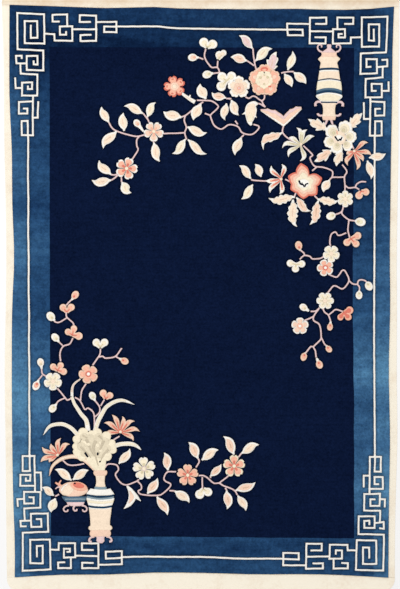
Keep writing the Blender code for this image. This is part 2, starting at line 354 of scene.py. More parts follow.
# Stems that carry the leaves and flowers, all of one width.
STEMS = [
    [(109, 122.5), (112, 127.6), (116.5, 130.8), (125.7, 134), (135.9, 136.5), (145, 135)],
    [(139.4, 136.5), (137, 140), (137, 146), (138.2, 149.6), (134.5, 156), (131, 161)],
    [(142.9, 113.3), (147.7, 119.6), (148.8, 122.5)],
    [(147, 117), (147.7, 119.6)],
    [(163.3, 133.4), (176.1, 133), (184.4, 132.7)],
    [(181.8, 117), (185.7, 115.4), (190, 112), (197, 106), (203.3, 101.7)],
    [(185.7, 115.4), (184.5, 120.5), (186.4, 127.5), (184.8, 132.6), (186.4, 139.6)],
    [(196.9, 100.2), (205.8, 100.2), (212.2, 101.1), (217.9, 105.5), (217.3, 108.4), (211.2, 114.1),
     (210.6, 117.3), (214.1, 125.3), (221.1, 129.1), (228.8, 124.7), (237.7, 126.2), (242.2, 132.3),
     (251.1, 134.5), (257.8, 129.8), (258.8, 126.3), (253.6, 124.3)],
    [(204.5, 113.2), (210.3, 115.4)],
    [(235.2, 120.5), (238, 124.3)],
    [(244.1, 134.5), (241.2, 137.1)],
    [(205.8, 48.5), (204.5, 57), (210.9, 67), (217.3, 67.6), (219.8, 72.7), (222, 75)],
    [(198.8, 57.4), (203.3, 59.3)],
    [(217.6, 60.6), (217.3, 67.6)],
    [(213.2, 73.4), (219.8, 72.7)],
    [(253, 48.5), (254.6, 61.9), (256.8, 70.8)],
    [(247.3, 60.6), (254.3, 65.7)],
    [(256.2, 60), (254.6, 61.9)],
    [(226.2, 98.6), (231.3, 98.6), (228.8, 99.1)],
    [(245.4, 97), (249, 98.4), (252.3, 96.3), (255.4, 96.5), (258.9, 99.2), (261.8, 100.9), (263, 103.4),
     (265.4, 107)],
    [(264.6, 94.4), (264.2, 98.4), (261.9, 100.9)],
    [(258.2, 103.4), (260.6, 103.9), (264.6, 106.4)],
    [(111.3, 174.8), (115.6, 174.8), (119, 173.4)],
    [(111.3, 180.3), (114.6, 178), (118, 175)],
    [(121.7, 182.1), (121.4, 177.2)],
    [(153.6, 140), (153.9, 142.6)],
    [(281.1, 73.1), (288.8, 71.5), (293.9, 71.5)],
    [(283.4, 125.6), (282.7, 132.1), (287.8, 137.9), (296, 142)],
    [(303.4, 145.5), (311.1, 153.2), (312.7, 155.4), (310.1, 158.3), (314.3, 165.9), (323.2, 167.2),
     (331.5, 170.2), (332.9, 173.2), (332, 177), (329.7, 179.6)],
    [(316.8, 167.2), (312.4, 171)],
    [(332.3, 177.3), (343.8, 177)],
    [(342.3, 164.4), (346.8, 171.4), (344.4, 177), (345.1, 186.6), (345.1, 191)],
    [(351.2, 143.4), (354, 149)],
    [(251.1, 179.6), (256.9, 180.6), (271.6, 181.2)],
    [(285, 179.3), (291.3, 182.2)],
    [(296.6, 191), (294, 198)],
    [(314.4, 195.5), (318.3, 199.5)],
    [(345.1, 185.3), (348.9, 187.9), (355.3, 187.5), (359.4, 189.5)],
    [(355.3, 187.5), (356.5, 184.3), (360.4, 181.8), (366.1, 181.8)],
    [(343.8, 205.7), (342.2, 210.8), (340, 212.7), (334, 215)],
    [(342.2, 210.8), (342.2, 214), (348.9, 219.7), (355, 221)],
    [(348.9, 219.7), (347.9, 229.9), (349.5, 237.6)],
    [(346.3, 232.8), (338.7, 235.4), (335.5, 232), (331.2, 234.6), (330, 242.2), (330.6, 246)],
    [(323.3, 256.9), (319.4, 258.5), (312.4, 258.8), (309.9, 256.3), (304.1, 255.3), (299.7, 259.4)],
    [(304.1, 255.3), (304.1, 253.1), (300.3, 249.6)],
    [(328.4, 274.1), (336, 277), (339.2, 274.7), (342.4, 270.3), (345.6, 271.6), (348.8, 280.5),
     (343, 288.5), (336, 285.9), (332.8, 286.5), (328, 292.6)],
    [(348.8, 280.5), (352.6, 283.7), (357.1, 284.3), (358.3, 281.1), (361.5, 279.8), (365.4, 281.1),
     (367, 283)],
    [(357.1, 284.3), (359.3, 287.5), (359, 292)],
    [(310.5, 311.4), (315.6, 311), (319.4, 307.9)],
    [(319.4, 307.9), (313.7, 316.1), (313.7, 320.6), (319.4, 324.8), (321.4, 335.9), (320.7, 339.7),
     (315.6, 344.8), (313.7, 347.4), (315.6, 351.2), (316.3, 357.6)],
    [(313.7, 316.1), (309.2, 318.4), (304.1, 320.6)],
    [(321.4, 337.2), (324.5, 343.6), (327, 346)],
    [(313.7, 347.4), (311.1, 346.8), (306.7, 351.9), (305, 354)],
    [(322.6, 307.9), (324.5, 312.3), (328.4, 315.5), (330.6, 321.9)],
    [(328.4, 315.5), (332.2, 312.3), (336, 309.8), (343, 311.7)],
    [(72.1, 299), (68.3, 302.9), (66.4, 305.4)],
    [(66.6, 311.6), (66.7, 316.9), (72.7, 322.6), (74, 325.8)],
    [(66.7, 318.2), (60.6, 321.7), (57.4, 322.6), (54.2, 321.4)],
    [(72.7, 337.9), (69.5, 343.7), (63.2, 346.2), (60, 352.6), (60.6, 361.5)],
    [(58.7, 341.8), (62.5, 345.6)],
    [(100.5, 348.8), (100.2, 353.9), (97.6, 358.3), (92.5, 365.3)],
    [(98.9, 357.1), (102.7, 356.4), (105.9, 358.3), (115.5, 356.4), (121.8, 348.1)],
    [(115.5, 356.4), (119.9, 358.9)],
    [(41.5, 368.5), (42.1, 373.6), (45.9, 376.1)],
    [(42.1, 375.2), (38, 380)],
    [(57.4, 388.3), (65.1, 397.8), (67, 400), (70.8, 398.5)],
    [(65.1, 397.8), (58.7, 401), (56.1, 404.2)],
    [(74.6, 397.2), (79.7, 400.4), (84.8, 409.3), (88, 408), (93.8, 413.8), (94.4, 428)],
    [(86.1, 383.8), (81.7, 390.8), (80.4, 400.4)],
    [(95.1, 400.4), (99.5, 406.8), (99.5, 412.5), (95.1, 417)],
    [(104.6, 399.7), (100.8, 406.1)],
    [(119.4, 436), (112.4, 440.5)],
    [(62.5, 460.4), (68.3, 464.8), (77.2, 464.8), (84.2, 463.6)],
    [(104.8, 467.9), (108.6, 464.4), (116.3, 465.1), (118.5, 469.8), (115.5, 475), (119.6, 481.9),
     (126, 485), (135.5, 481.9), (139, 479.4)],
    [(137.4, 481), (141.3, 485.1), (141.3, 489.5), (138.4, 491.1), (141.3, 494.6), (155.9, 495.6),
     (162.9, 493.4), (170.6, 485.1), (165.5, 481.3), (163.9, 478.1), (167.4, 472.3), (176.3, 472)],
    [(195.9, 467.5), (199.1, 461.8), (198.2, 458.6)],
    [(198.6, 475.5), (203.1, 475.5), (207.4, 477.7), (213.8, 483.2), (219.5, 483.2), (224, 486),
     (233.6, 489.8), (237.4, 495)],
    [(202.3, 477), (202.6, 489.4)],
    [(219.5, 483), (227.8, 476.5), (230, 472)],
    [(238.7, 457.3), (241.5, 453.5)],
    [(225.3, 487.9), (226.9, 490.5)],
    [(169.3, 490.5), (174.4, 490.8)],
    [(211, 478), (210.3, 476.5)],
    [(59.1, 494.3), (55, 496.3)],
]

# Long blades of grass and thick shoots: yarns, widths at both ends and the way they run.
Blade = namedtuple("Blade", "rim heart pointed start_width end_width points")
BLADES = [
    Blade("ivory", "peach", False, 1.5, 3, [(80.4, 379), (74, 384.4), (72.1, 389.5), (71.8, 396.5)]),
    Blade("ivory", "cream", False, 3, 4.8, [(71.5, 396.8), (74.6, 404.2), (81, 413.8), (86.1, 420.2),
        (87.4, 425.9), (88, 431)]),
    Blade("ivory", "cream", True, 4.6, 3.4, [(94.6, 432.5), (97.6, 422.1), (101.4, 415.1), (106.5, 407.4),
        (114.2, 402.3), (122.5, 400.4), (134.4, 404.4)]),
    Blade("ivory", "cream", True, 4.4, 3.2, [(81, 437.4), (77.2, 434.2), (70.8, 427.9), (63.2, 424.4),
        (55.5, 424.4), (48.5, 427.2), (43, 435)]),
    Blade("peach", "sand", True, 4.6, 3.2, [(95, 469.3), (88, 462.5), (79.7, 457.6), (70, 456.6),
        (60, 459.7), (52.3, 466.8), (49.1, 476.4)]),
    Blade("ivory", "cream", True, 4.4, 4, [(110, 447.6), (120.7, 444.2), (129.6, 443.9), (136, 445.8),
        (141, 450)]),
]

# Turned shapes: how far down each edge is, and half the width there, in bands of one yarn.
# The upper edge is bowed down by curve, and the lower one by low_curve if that is given.
Band = namedtuple("Band", "yarn curve rows low_curve", defaults=[None])
LOWER_VASE = (100.3, [
    Band("peach", 0, [(470.6, 6.4), (472.6, 7), (474.6, 6.4), (476.2, 4.8)]),
    Band("sand", 0, [(475.8, 4.8), (479, 4.4), (483, 4.4), (487, 5.2)]),
    Band("mist", 0.4, [(486.6, 5.8), (489.6, 6.2)]),
    Band("ivory", 1.2, [(488.4, 9.8), (490, 11), (492, 12.6), (494.4, 14)]),
    Band("teal", 1.8, [(494.2, 13.2), (496.3, 13.3)]),
    Band("mist", 1.8, [(496.1, 13.3), (498, 13.6)]),
    Band("ivory", 1.8, [(497.8, 13.8), (500, 13.8)]),
    Band("cream", 1.6, [(499.8, 13.7), (502.6, 13)]),
    Band("ivory", 1.4, [(502.4, 13), (505.4, 12)]),
    Band("teal", 1.4, [(505.1, 11.8), (507.5, 11.6)]),
    Band("ivory", 1.2, [(507.3, 11.5), (508.8, 11.4)]),
    Band("sand", 1, [(508.5, 11.4), (514, 10.8), (520, 10.1), (526, 9.8)]),
    Band("sand", 0, [(525.4, 9.8), (526.8, 11.6), (529, 11.9), (530.6, 10.2)]),
    Band("peach", 0, [(530.4, 9.6), (532.6, 10.6), (535.4, 10.4), (537, 8.6)]),
    Band("rose", 0, [(536.6, 4.4), (539, 3.8), (541, 4.2), (543.4, 2)]),
])
UPPER_VASE = (329.2, [
    Band("rose", 0, [(44, 1.9), (45.8, 2.3), (47.8, 2), (50, 4.6), (52.8, 7.9)]),
    Band("peach", 0, [(52.4, 7.9), (54.6, 7.4), (56.6, 8.6), (57.6, 9.8)]),
    Band("sand", 0, [(56.8, 9), (58.9, 11), (60.6, 9.8), (62.7, 8.2), (66, 9), (68.6, 9.4)]),
    Band("teal", -0.7, [(68.4, 9.5), (70.8, 9.6)]),
    Band("ivory", -0.7, [(70.6, 9.7), (72.2, 9.9)]),
    Band("sand", -0.7, [(72, 9.9), (75, 10.4), (80.2, 11.2)], -1.6),
    Band("teal", -1.6, [(80, 11.2), (81.4, 11.5)]),
    Band("ivory", -1.6, [(81.2, 11.6), (82.6, 12)]),
    Band("cream", -1.6, [(82.4, 12), (86, 12.6), (90.6, 12.9)], -2.6),
    Band("slate", -2.6, [(90.4, 12.9), (92.8, 12.9)]),
    Band("teal", -2.6, [(92.6, 12.9), (95.2, 12.9)]),
    Band("ivory", -2.6, [(95, 12.9), (97, 13.2), (99.2, 10.9), (101.6, 8.3)], 0),
    Band("cream", -2.6, [(96.4, 11), (98, 11.4), (99, 9.8), (100.6, 8.2)], 0),
    Band("teal", 0, [(101.4, 8.3), (103, 8)]),
    Band("sand", 0, [(102.8, 7.4), (105, 6.7), (109, 6.1), (113, 6.1), (117, 6.7), (120, 6)]),
    Band("peach", 0, [(116.4, 6.2), (118.4, 6.4), (120.2, 5.6)]),
])

# Curled handles and feet: the line they are mirrored about, or None, and their widths at both ends.
Curl = namedtuple("Curl", "mirror start_width end_width points")
CURLS = [
    Curl(329.2, 1.9, 1.5, [(322.4, 52), (319.8, 51), (317.9, 48.4), (318.2, 45.6), (320.4, 44.5), (322, 45.8),
         (321.4, 47.4)]),
    Curl(329.2, 1.9, 2.8, [(322.8, 104), (320.6, 102), (317.4, 101.8), (315.4, 103.6), (315.9, 106.2)]),
    Curl(329.2, 2, 2.5, [(323.4, 115.2), (320.4, 115.6), (318.4, 114.6), (318, 113.2)]),
    Curl(329.2, 2.8, 1.8, [(327.4, 118.8), (326.6, 121.6), (325.4, 124.8)]),
    Curl(100.3, 2, 2.2, [(94.4, 537), (91.4, 537.4), (89.4, 539.2), (89.4, 541.4), (91.6, 541.8)]),
    Curl(75.2, 1.8, 1.5, [(69, 505.8), (65.6, 506.4), (63.4, 508.8), (64.6, 511.4), (67.4, 511.2),
         (67.8, 509.4)]),
    Curl(None, 1.9, 1.6, [(75, 505.4), (73.2, 508.6), (74.4, 511), (76.6, 510.6), (76.4, 509)]),
]

# The blue's painted light and sheen: how pale each side is down the length, from 0 deep to 1 pale.
Lot = namedtuple("Lot", "down left right")
PAINTED_LIGHT_ROWS = [
    Lot(0, 0.2, 0.3),
    Lot(50, 0.2, 0.38),
    Lot(90, 0.45, 0.42),
    Lot(120, 0.55, 0.5),
    Lot(144, 0.5, 0.46),
    Lot(180, 0.62, 0.4),
    Lot(206, 0.42, 0.46),
    Lot(230, 0.66, 0.48),
    Lot(252, 0.72, 0.5),
    Lot(270, 0.6, 0.64),
    Lot(290, 0.6, 0.54),
    Lot(306, 0.5, 0.62),
    Lot(330, 0.66, 0.72),
    Lot(354, 0.76, 0.9),
    Lot(376, 0.86, 1.0),
    Lot(390, 0.92, 0.84),
    Lot(402, 1.0, 0.72),
    Lot(420, 0.83, 0.78),
    Lot(444, 0.74, 0.72),
    Lot(470, 0.94, 0.82),
    Lot(490, 0.92, 0.94),
    Lot(516, 0.92, 0.76),
    Lot(530, 0.7, 0.6),
    Lot(560, 0.68, 0.72),
    Lot(590, 0.6, 0.6),
]
TOP_PAINTED_LIGHT = 0.2
BOTTOM_PAINTED_LIGHT = 0.37

# Inside the guard lines the blue is darker, by these amounts at the ends and at the sides.
INNER_END_DEEPER = 0.1
INNER_SIDE_DEEPER = 0.2
GUARD_LEFT = 29
GUARD_RIGHT = 374
GUARD_TOP = 28
GUARD_BOTTOM = 557

# Where the painted light of the ends takes over from that of the sides: how far down, over how many
# squares, and how far in from the side's edge, over how many.
TOP_STRIP = 48
BOTTOM_STRIP = 530
STRIP_FADE = 14
TOP_FROM_SIDE = 6
TOP_SIDE_FADE = 30
BOTTOM_FROM_SIDE = 10
BOTTOM_SIDE_FADE = 60


# Lines and loops on the chart.


def smooth_line(points):
    """A smooth curve through the points, with a point about every LINE_STEP squares."""
    points = np.array(points, float)
    ends = np.vstack([2 * points[0] - points[1], points, 2 * points[-1] - points[-2]])
    made = []
    for before, here, there, after in zip(ends, ends[1:], ends[2:], ends[3:]):
        count = max(2, int(np.linalg.norm(there - here) / LINE_STEP))
        t = (np.arange(count) / count)[:, None]
        curve = (there - before) * t + (2 * before - 5 * here + 4 * there - after) * t**2
        curve = curve + (3 * here - 3 * there + after - before) * t**3
        made.append(here + curve / 2)
    made.append(points[-1:])
    return np.vstack(made)


def sideways(line):
    """The direction to the right of a line, at each of its points."""
    along = np.gradient(line, axis=0)
    along /= np.maximum(np.linalg.norm(along, axis=1), 1e-9)[:, None]
    return np.stack([-along[:, 1], along[:, 0]], axis=1)


def strip(line, widths):
    """The loop round a line of changing width."""
    reach = sideways(line) * (np.asarray(widths, float) / 2).reshape(-1, 1)
    return np.vstack([line + reach, (line - reach)[::-1]])


def disc(across, down, radius, points=14):
    angle = np.arange(points) * 2 * np.pi / points
    return np.stack([across + radius * np.cos(angle), down + radius * np.sin(angle)], axis=1)


def oval(across, down, along, half_length, half_width, points=18):
    angle = np.arange(points) * 2 * np.pi / points
    right = np.array([-along[1], along[0]])
    long_way = np.outer(np.cos(angle) * half_length, along)
    return np.array([across, down]) + long_way + np.outer(np.sin(angle) * half_width, right)


def out_from(place, way, distance):
    """The point at that distance from a place, the way given as an angle."""
    return (place[0] + distance * math.cos(way), place[1] + distance * math.sin(way))


def towards(start, end, share):
    """The point at that share of the way from start to end."""
    return start + (np.array(end) - start) * share


def bar(start, end, width):
    """A straight line with square ends, which reach half its width past both points."""
    start = np.array(start, float)
    end = np.array(end, float)
    along = (end - start) / np.linalg.norm(end - start) * width / 2
    right = np.array([-along[1], along[0]])
    return np.array([start - along + right, end + along + right, end + along - right, start - along - right])


# A leaf's width along it, as a share of its greatest one.
LEAF_PLACES = [0, 0.1, 0.22, 0.38, 0.52, 0.66, 0.78, 0.88, 0.95, 1]
LEAF_SHARES = [0.17, 0.3, 0.72, 0.97, 1, 0.88, 0.6, 0.32, 0.16, 0.03]
LEAF_BOW = 0.22
HEART_ASIDE = 0.05
HEART_ENDS = (0.14, 0.84)
HEART_SHARE = 0.72
CUT_HEART_SHARE = 0.7
BOW_TO_TIP = 1.9


def leaf_line(base, tip, turn, points):
    """The midrib: it bows to one side, most near the tip, which so turns to the other."""
    base = np.array(base, float)
    along = np.array(tip, float) - base
    right = np.array([-along[1], along[0]])
    t = np.linspace(0, 1, points)[:, None]
    return base + along * t - right * (LEAF_BOW * turn * np.sin(np.pi * t**BOW_TO_TIP))


def leaf_loop(line, width, first=0.0, last=1.0, share=1.0):
    """The loop round a leaf's midrib from first to last of its length."""
    t = np.linspace(0, 1, len(line))
    at = np.linspace(first, last, len(line))
    middle = np.stack([np.interp(at, t, line[:, 0]), np.interp(at, t, line[:, 1])], axis=1)
    widths = np.interp(at, LEAF_PLACES, LEAF_SHARES) * width * share
    if first > 0:
        widths = widths * np.sin(np.pi * np.clip(t, 0.02, 0.98)) ** 0.5
    return strip(middle, widths)


class Chart:
    """The shapes of the design, in the order in which they are laid over one another."""

    def __init__(self):
        self.shapes = []

    def lay(self, yarn, loop):
        self.shapes.append((yarn, np.asarray(loop, float)))

    def lay_line(self, yarn, points, width, end_width=None):
        line = smooth_line(points)
        widths = np.linspace(width, width if end_width is None else end_width, len(line))
        self.lay(yarn, strip(line, widths))

    def lay_shaped(self, yarn, points, widths):
        """A smooth line whose width changes evenly from one given width to the next."""
        line = smooth_line(points)
        place = np.linspace(0, 1, len(line))
        self.lay(yarn, strip(line, np.interp(place, np.linspace(0, 1, len(widths)), widths)))

    def lay_discs(self, yarn, discs, points):
        for across, down, radius in discs:
            self.lay(yarn, disc(across, down, radius, points))

    def lay_bars(self, yarn, points, width):
        for start, end in zip(points, points[1:]):
            self.lay(yarn, bar(start, end, width))


def lay_leaf(chart, leaf):
    """A pale rim, which is wider on one side, a warm heart and a hint of the midrib."""
    line = leaf_line((leaf.across, leaf.down), (leaf.tip_across, leaf.tip_down), leaf.turn, 26)
    aside = sideways(line) * HEART_ASIDE * leaf.width * np.sign(leaf.turn)
    chart.lay("ivory", leaf_loop(line, leaf.width))
    chart.lay(leaf.heart, leaf_loop(line + aside, leaf.width, *HEART_ENDS, HEART_SHARE))
    lay_midrib(chart, leaf.heart, line[9:17])


def lay_midrib(chart, heart, line):
    chart.lay("tan" if heart == "peach" else "peach", strip(line, np.linspace(1.0, 0.5, len(line))))


def lay_cut_leaf(chart, leaf):
    """A leaf whose edge is cut: teeth point to the tip, and scallops are round."""
    line = leaf_line((leaf.across, leaf.down), (leaf.tip_across, leaf.tip_down), leaf.turn, 61)
    place = np.linspace(0, 1, 61)
    half = np.interp(place, LEAF_PLACES, LEAF_SHARES) * leaf.width / 2
    sides = []
    for way, shift in ((1, 0.0), (-1, 0.5)):
        count = place * leaf.cuts + shift
        lost = 1 - count % 1 if leaf.toothed else 1 - np.abs(np.sin(np.pi * count))
        sides.append(sideways(line) * (way * half * (1 - leaf.depth * lost))[:, None])
    chart.lay("ivory", np.vstack([line + sides[0], (line + sides[1])[::-1]]))
    inner = slice(8, 50)
    heart = [(line + side * CUT_HEART_SHARE)[inner] for side in sides]
    chart.lay(leaf.heart, np.vstack([heart[0], heart[1][::-1]]))
    lay_midrib(chart, leaf.heart, line[18:38])


# A petal's width along it, as a share of its greatest one.
PETAL_PLACES = [0, 0.12, 0.26, 0.42, 0.58, 0.72, 0.84, 0.93, 1]
PETAL_SHARES = [0.16, 0.22, 0.4, 0.68, 0.92, 1, 0.92, 0.7, 0.34]

# Petal widths as a share of their reach, for blossoms whose petals are parted and by number for the others.
PARTED_WIDTH = 0.8
GROWN_WIDTH = {5: 0.88, 6: 0.74}
PETAL_NOTCH = 0.1


def petal(across, down, angle, reach, width, notch=0.0):
    """One petal's loop: it widens from the middle of the flower and may be notched at its end."""
    out = reach * np.array(PETAL_PLACES)
    half = np.array(PETAL_SHARES) * width / 2
    along = np.concatenate([out, [reach * (1 - notch)], out[::-1]])
    across_it = np.concatenate([half, [0], -half[::-1]])
    cos, sin = math.cos(angle), math.sin(angle)
    return np.stack([across + along * cos - across_it * sin, down + along * sin + across_it * cos], axis=1)


def lay_petals(chart, yarn, place, reach, width, petals, turn, notch=0.0):
    for k in range(petals):
        angle = math.radians(turn + 360 * k / petals)
        chart.lay(yarn, petal(*place, angle, reach, width, notch))


def lay_blossom(chart, blossom):
    """Petals with a pale rim and a deeper heart, parted by gaps or grown together, and an eye."""
    place = (blossom.across, blossom.down)
    reach = blossom.reach
    shape = (blossom.petals, blossom.turn)
    deeper = DEEPER[blossom.heart]
    if blossom.parted:
        width = reach * PARTED_WIDTH
        lay_petals(chart, blossom.rim, place, reach, width, *shape, PETAL_NOTCH)
        lay_petals(chart, blossom.heart, place, reach * 0.84, width * 0.72, *shape)
        lay_petals(chart, deeper, place, reach * 0.48, width * 0.24, *shape)
        chart.lay(deeper if blossom.heart != "cream" else "rose", disc(*place, reach * 0.22, 12))
        chart.lay("cream", disc(*place, reach * 0.16, 12))
        return
    width = reach * GROWN_WIDTH[blossom.petals]
    chart.lay(blossom.rim, disc(*place, reach * 0.56, 20))
    lay_petals(chart, blossom.rim, place, reach, width, *shape)
    lay_petals(chart, blossom.heart, place, reach * 0.84, width * 0.66, *shape)
    chart.lay(blossom.heart, disc(*place, reach * 0.46, 16))
    if blossom.heart == "cream":
        lay_petals(chart, "bone", place, reach * 0.6, 1.0, *shape)
        chart.lay("sand", disc(*place, reach * 0.26, 12))
        return
    chart.lay(deeper, disc(*place, reach * 0.32, 12))
    chart.lay("ivory", disc(*place, reach * 0.18, 12))


def lay_bud(chart, bud):
    """A bud on its neck, with the deeper colour towards the neck."""
    middle = np.array([bud.across, bud.down])
    neck = np.array([bud.neck_across, bud.neck_down])
    away = middle - neck
    away /= np.linalg.norm(away)
    chart.lay_line("ivory", [neck, middle - away * bud.radius * 0.5], 1.7, bud.radius * 1.1)
    chart.lay(bud.rim, oval(*middle, away, bud.radius * 1.06, bud.radius * 0.86))
    inner = middle - away * bud.radius * 0.14
    chart.lay(bud.heart, oval(*inner, away, bud.radius * 0.66, bud.radius * 0.52, 14))
    low = middle - away * bud.radius * 0.44
    chart.lay(DEEPER[bud.heart], oval(*low, away, bud.radius * 0.3, bud.radius * 0.22, 10))


def lay_spray(chart, spray):
    """A few round lobes that grow from one place, each with a deeper heart."""
    centre = np.array([spray.across, spray.down])
    for across, down, radius in spray.lobes:
        chart.lay_line(spray.rim, [centre, (across, down)], radius * 0.9, radius * 1.7)
        chart.lay(spray.rim, disc(across, down, radius * 0.94, 16))
    for across, down, radius in spray.lobes:
        inner = towards(centre, (across, down), 0.86)
        chart.lay_line(spray.heart, [centre, inner], radius * 0.4, radius * 0.9)
        chart.lay(spray.heart, disc(*inner, radius * 0.56, 12))
    for across, down, _ in spray.lobes:
        chart.lay_line(DEEPER[spray.heart], [centre, towards(centre, (across, down), 0.66)], 1.2, 0.6)


# A chrysanthemum petal's width along it, as a share of its greatest one.
STAR_PLACES = [0, 0.1, 0.25, 0.42, 0.58, 0.7, 0.82, 0.91, 0.96, 1]
STAR_SHARES = [0.3, 0.34, 0.5, 0.8, 1, 0.97, 0.7, 0.38, 0.2, 0.04]
STAR_CURL = 1.3


def lay_star(chart, star):
    """A chrysanthemum: curled petals, pale at the tip and deeper towards the middle."""
    centre = (star.across, star.down)
    lines = [leaf_line(centre, (across, down), STAR_CURL * turn, 22) for across, down, turn in star.tips]
    widths = np.interp(np.linspace(0, 1, 22), STAR_PLACES, STAR_SHARES) * star.width
    for line in lines:
        chart.lay(star.rim, strip(line, widths))
    for line in lines:
        chart.lay(star.heart, strip(line[2:16], widths[2:16] * np.linspace(0.8, 0.4, 14)))
        chart.lay(DEEPER[star.heart], strip(line[1:13], widths[1:13] * np.linspace(0.75, 0.15, 12)))
    chart.lay("sand", disc(*centre, star.width * 0.3, 12))


# A scalloped petal is a disc with smaller ones round its end, as shares of its radius and this many degrees
# apart.
LOBE_SHARE = 0.86
SCALLOP_SHARE = 0.42
SCALLOP_TURN = 46


def lay_scalloped_petals(chart, place, distance, radius, scallops, petals, turn, yarn):
    """Broad petals round a flower's middle, each with a scalloped end."""
    for k in range(petals):
        way = math.radians(turn + 360 * k / petals)
        lobe = out_from(place, way, distance)
        chart.lay(yarn, disc(*lobe, radius * LOBE_SHARE, 18))
        for j in range(scallops):
            side = way + math.radians((j - (scallops - 1) / 2) * SCALLOP_TURN)
            chart.lay(yarn, disc(*out_from(lobe, side, radius * 0.66), radius * SCALLOP_SHARE, 10))


def lay_coral_peony(chart):
    """The coral flower of five scalloped petals, with a pale middle of smaller ones."""
    place = (264.6, 80.4)
    lay_scalloped_petals(chart, place, 8, 7.9, 4, 5, -90, "peach")
    lay_scalloped_petals(chart, place, 7.6, 6.6, 4, 5, -90, "salmon")
    for k in range(5):
        parting = math.radians(-54 + 72 * k)
        chart.lay_line("tan", [place, out_from(place, parting, 12.4)], 2.4, 0.8)
        middle = math.radians(-90 + 72 * k)
        chart.lay("peach", disc(*out_from(place, middle, 10.4), 2.2, 10))
    chart.lay("coral", oval(264.3, 69.4, (1, 0), 3.8, 2.3))
    chart.lay("salmon", oval(264.3, 70, (1, 0), 2.2, 1.3, 12))
    lay_scalloped_petals(chart, (264.1, 79.6), 4, 4.9, 3, 5, -54, "cream")
    lay_scalloped_petals(chart, (264.1, 80.2), 2.4, 3, 3, 5, -90, "sand")
    chart.lay_discs("olive", [(260.6, 77.6, 1.4), (267.6, 77.4, 1.4), (264.2, 84, 1), (264.4, 75.4, 0.9)], 9)
    chart.lay("ink", disc(264.4, 72.8, 0.7, 8))
    chart.lay("coral", oval(270, 86.6, (1, 0), 1.5, 0.9, 8))


def lay_peach_blossom(chart):
    lay_scalloped_petals(chart, (238.8, 87), 5.6, 5.6, 3, 5, -90, "ivory")
    lay_scalloped_petals(chart, (238.8, 87), 4.4, 4.2, 3, 5, -90, "sand")
    lay_scalloped_petals(chart, (238.8, 88), 2.4, 2.9, 3, 5, -54, "peach")
    chart.lay("salmon", disc(238.8, 88.2, 1.9, 12))
    chart.lay("rose", disc(238.8, 88.2, 0.9, 8))


def lay_coral_blossom(chart):
    """The coral blossom of five broad petals and its thick pale stalk."""
    chart.lay_line("ivory", [(181.6, 93.4), (188.2, 98), (195, 102)], 2.8, 4.2)
    chart.lay_line("ivory", [(189, 98.6), (190.2, 94.8)], 2.6, 1.4)
    chart.lay_line("sand", [(185, 96.2), (192.4, 100.6)], 0.9, 1.3)
    place = (174.5, 86.4)
    ways = [math.radians(angle) for angle in (-105, -35, 40, 108, 180)]
    for way in ways:
        chart.lay("coral", petal(*place, way, 11, 9, 0.14))
    for way in ways:
        chart.lay("salmon", petal(*place, way, 9.4, 6.4))
        patch = out_from(place, way, 7.6)
        chart.lay("coral", oval(*patch, (-math.sin(way), math.cos(way)), 1.5, 0.7, 10))
    chart.lay("salmon", disc(*place, 5.4, 18))
    chart.lay("peach", disc(*place, 4.2, 14))
    chart.lay("sand", disc(*place, 2.3, 12))


# The cream flower's lobes: across, down and radius.
CREAM_LOBES = [
    (345, 128, 7.6),
    (332.2, 131.6, 7.2),
    (350.8, 136.6, 6.4),
    (347.6, 145.6, 5.6),
    (337, 147.2, 6.6),
    (329.6, 142, 6.2),
]


def lay_cream_peony(chart):
    """The large cream flower: lobes of several sizes, each shaded on its inner side."""
    middle = np.array([339.2, 138.2])
    for across, down, radius in CREAM_LOBES:
        out = math.atan2(down - middle[1], across - middle[0])
        chart.lay("ivory", disc(across, down, radius * LOBE_SHARE, 18))
        for turn in (-1.25, -0.42, 0.42, 1.25):
            scallop = out_from((across, down), out + turn, radius * 0.58)
            chart.lay("ivory", disc(*scallop, radius * SCALLOP_SHARE, 12))
    for across, down, radius in CREAM_LOBES:
        chart.lay("cream", disc(*towards(middle, (across, down), 0.92), radius * 0.68, 16))
    chart.lay("sand", disc(*middle, 7, 20))
    for across, down, radius in CREAM_LOBES:
        inner = towards(middle, (across, down), 0.84)
        chart.lay("bone", disc(*inner, radius * 0.44, 12))
        chart.lay("olive", disc(*towards(middle, inner, 0.92), radius * 0.22, 10))
    chart.lay_line("salmon", [(336.8, 130.6), (337.4, 134.4)], 1.3, 1)
    chart.lay("ivory", oval(339.4, 138.4, (1, 0), 4.4, 3.2))
    chart.lay_line("ink", [(335, 136.4), (337, 139.6), (338.4, 141.2)], 1.8, 1.4)
    chart.lay_line("ink", [(338.4, 140.8), (340.2, 138.8)], 1.4, 1.2)
    chart.lay_line("ink", [(340.4, 140.8), (342.2, 137)], 1.6, 1.2)


def lay_large_coral_flower(chart):
    """The large coral flower: six pointed petals of several lengths, and a pale middle."""
    middle = np.array([304.4, 182.6])
    tips = [(300.9, 163.4), (322.4, 178.2), (316.8, 194.6), (303.2, 198.8), (290.6, 189.6), (288, 176)]
    layers = [(1, 14, "coral"), (0.88, 12, "salmon"), (0.7, 10.4, "peach"), (0.52, 8.4, "cream")]
    place = np.linspace(0, 1, 16)
    widths = np.interp(place, [0, 0.3, 0.55, 0.75, 0.9, 1], [0.6, 0.9, 1, 0.84, 0.46, 0.08])
    for share, width, yarn in layers:
        for tip in tips:
            line = np.linspace(middle, towards(middle, tip, share), 16)
            chart.lay(yarn, strip(line, widths * width))
    chart.lay("ivory", oval(303.6, 183.4, (1, 0), 5.6, 4.4))
    chart.lay_line("ink", [(299, 180.4), (300.4, 183.8), (303, 184.6), (304.6, 186.9)], 1.9, 1.5)
    chart.lay_line("ink", [(302.2, 185), (302, 182.4)], 1.2, 1)
    chart.lay_line("ink", [(304.8, 186.6), (306, 184), (308.4, 183.4)], 1.6, 1.2)


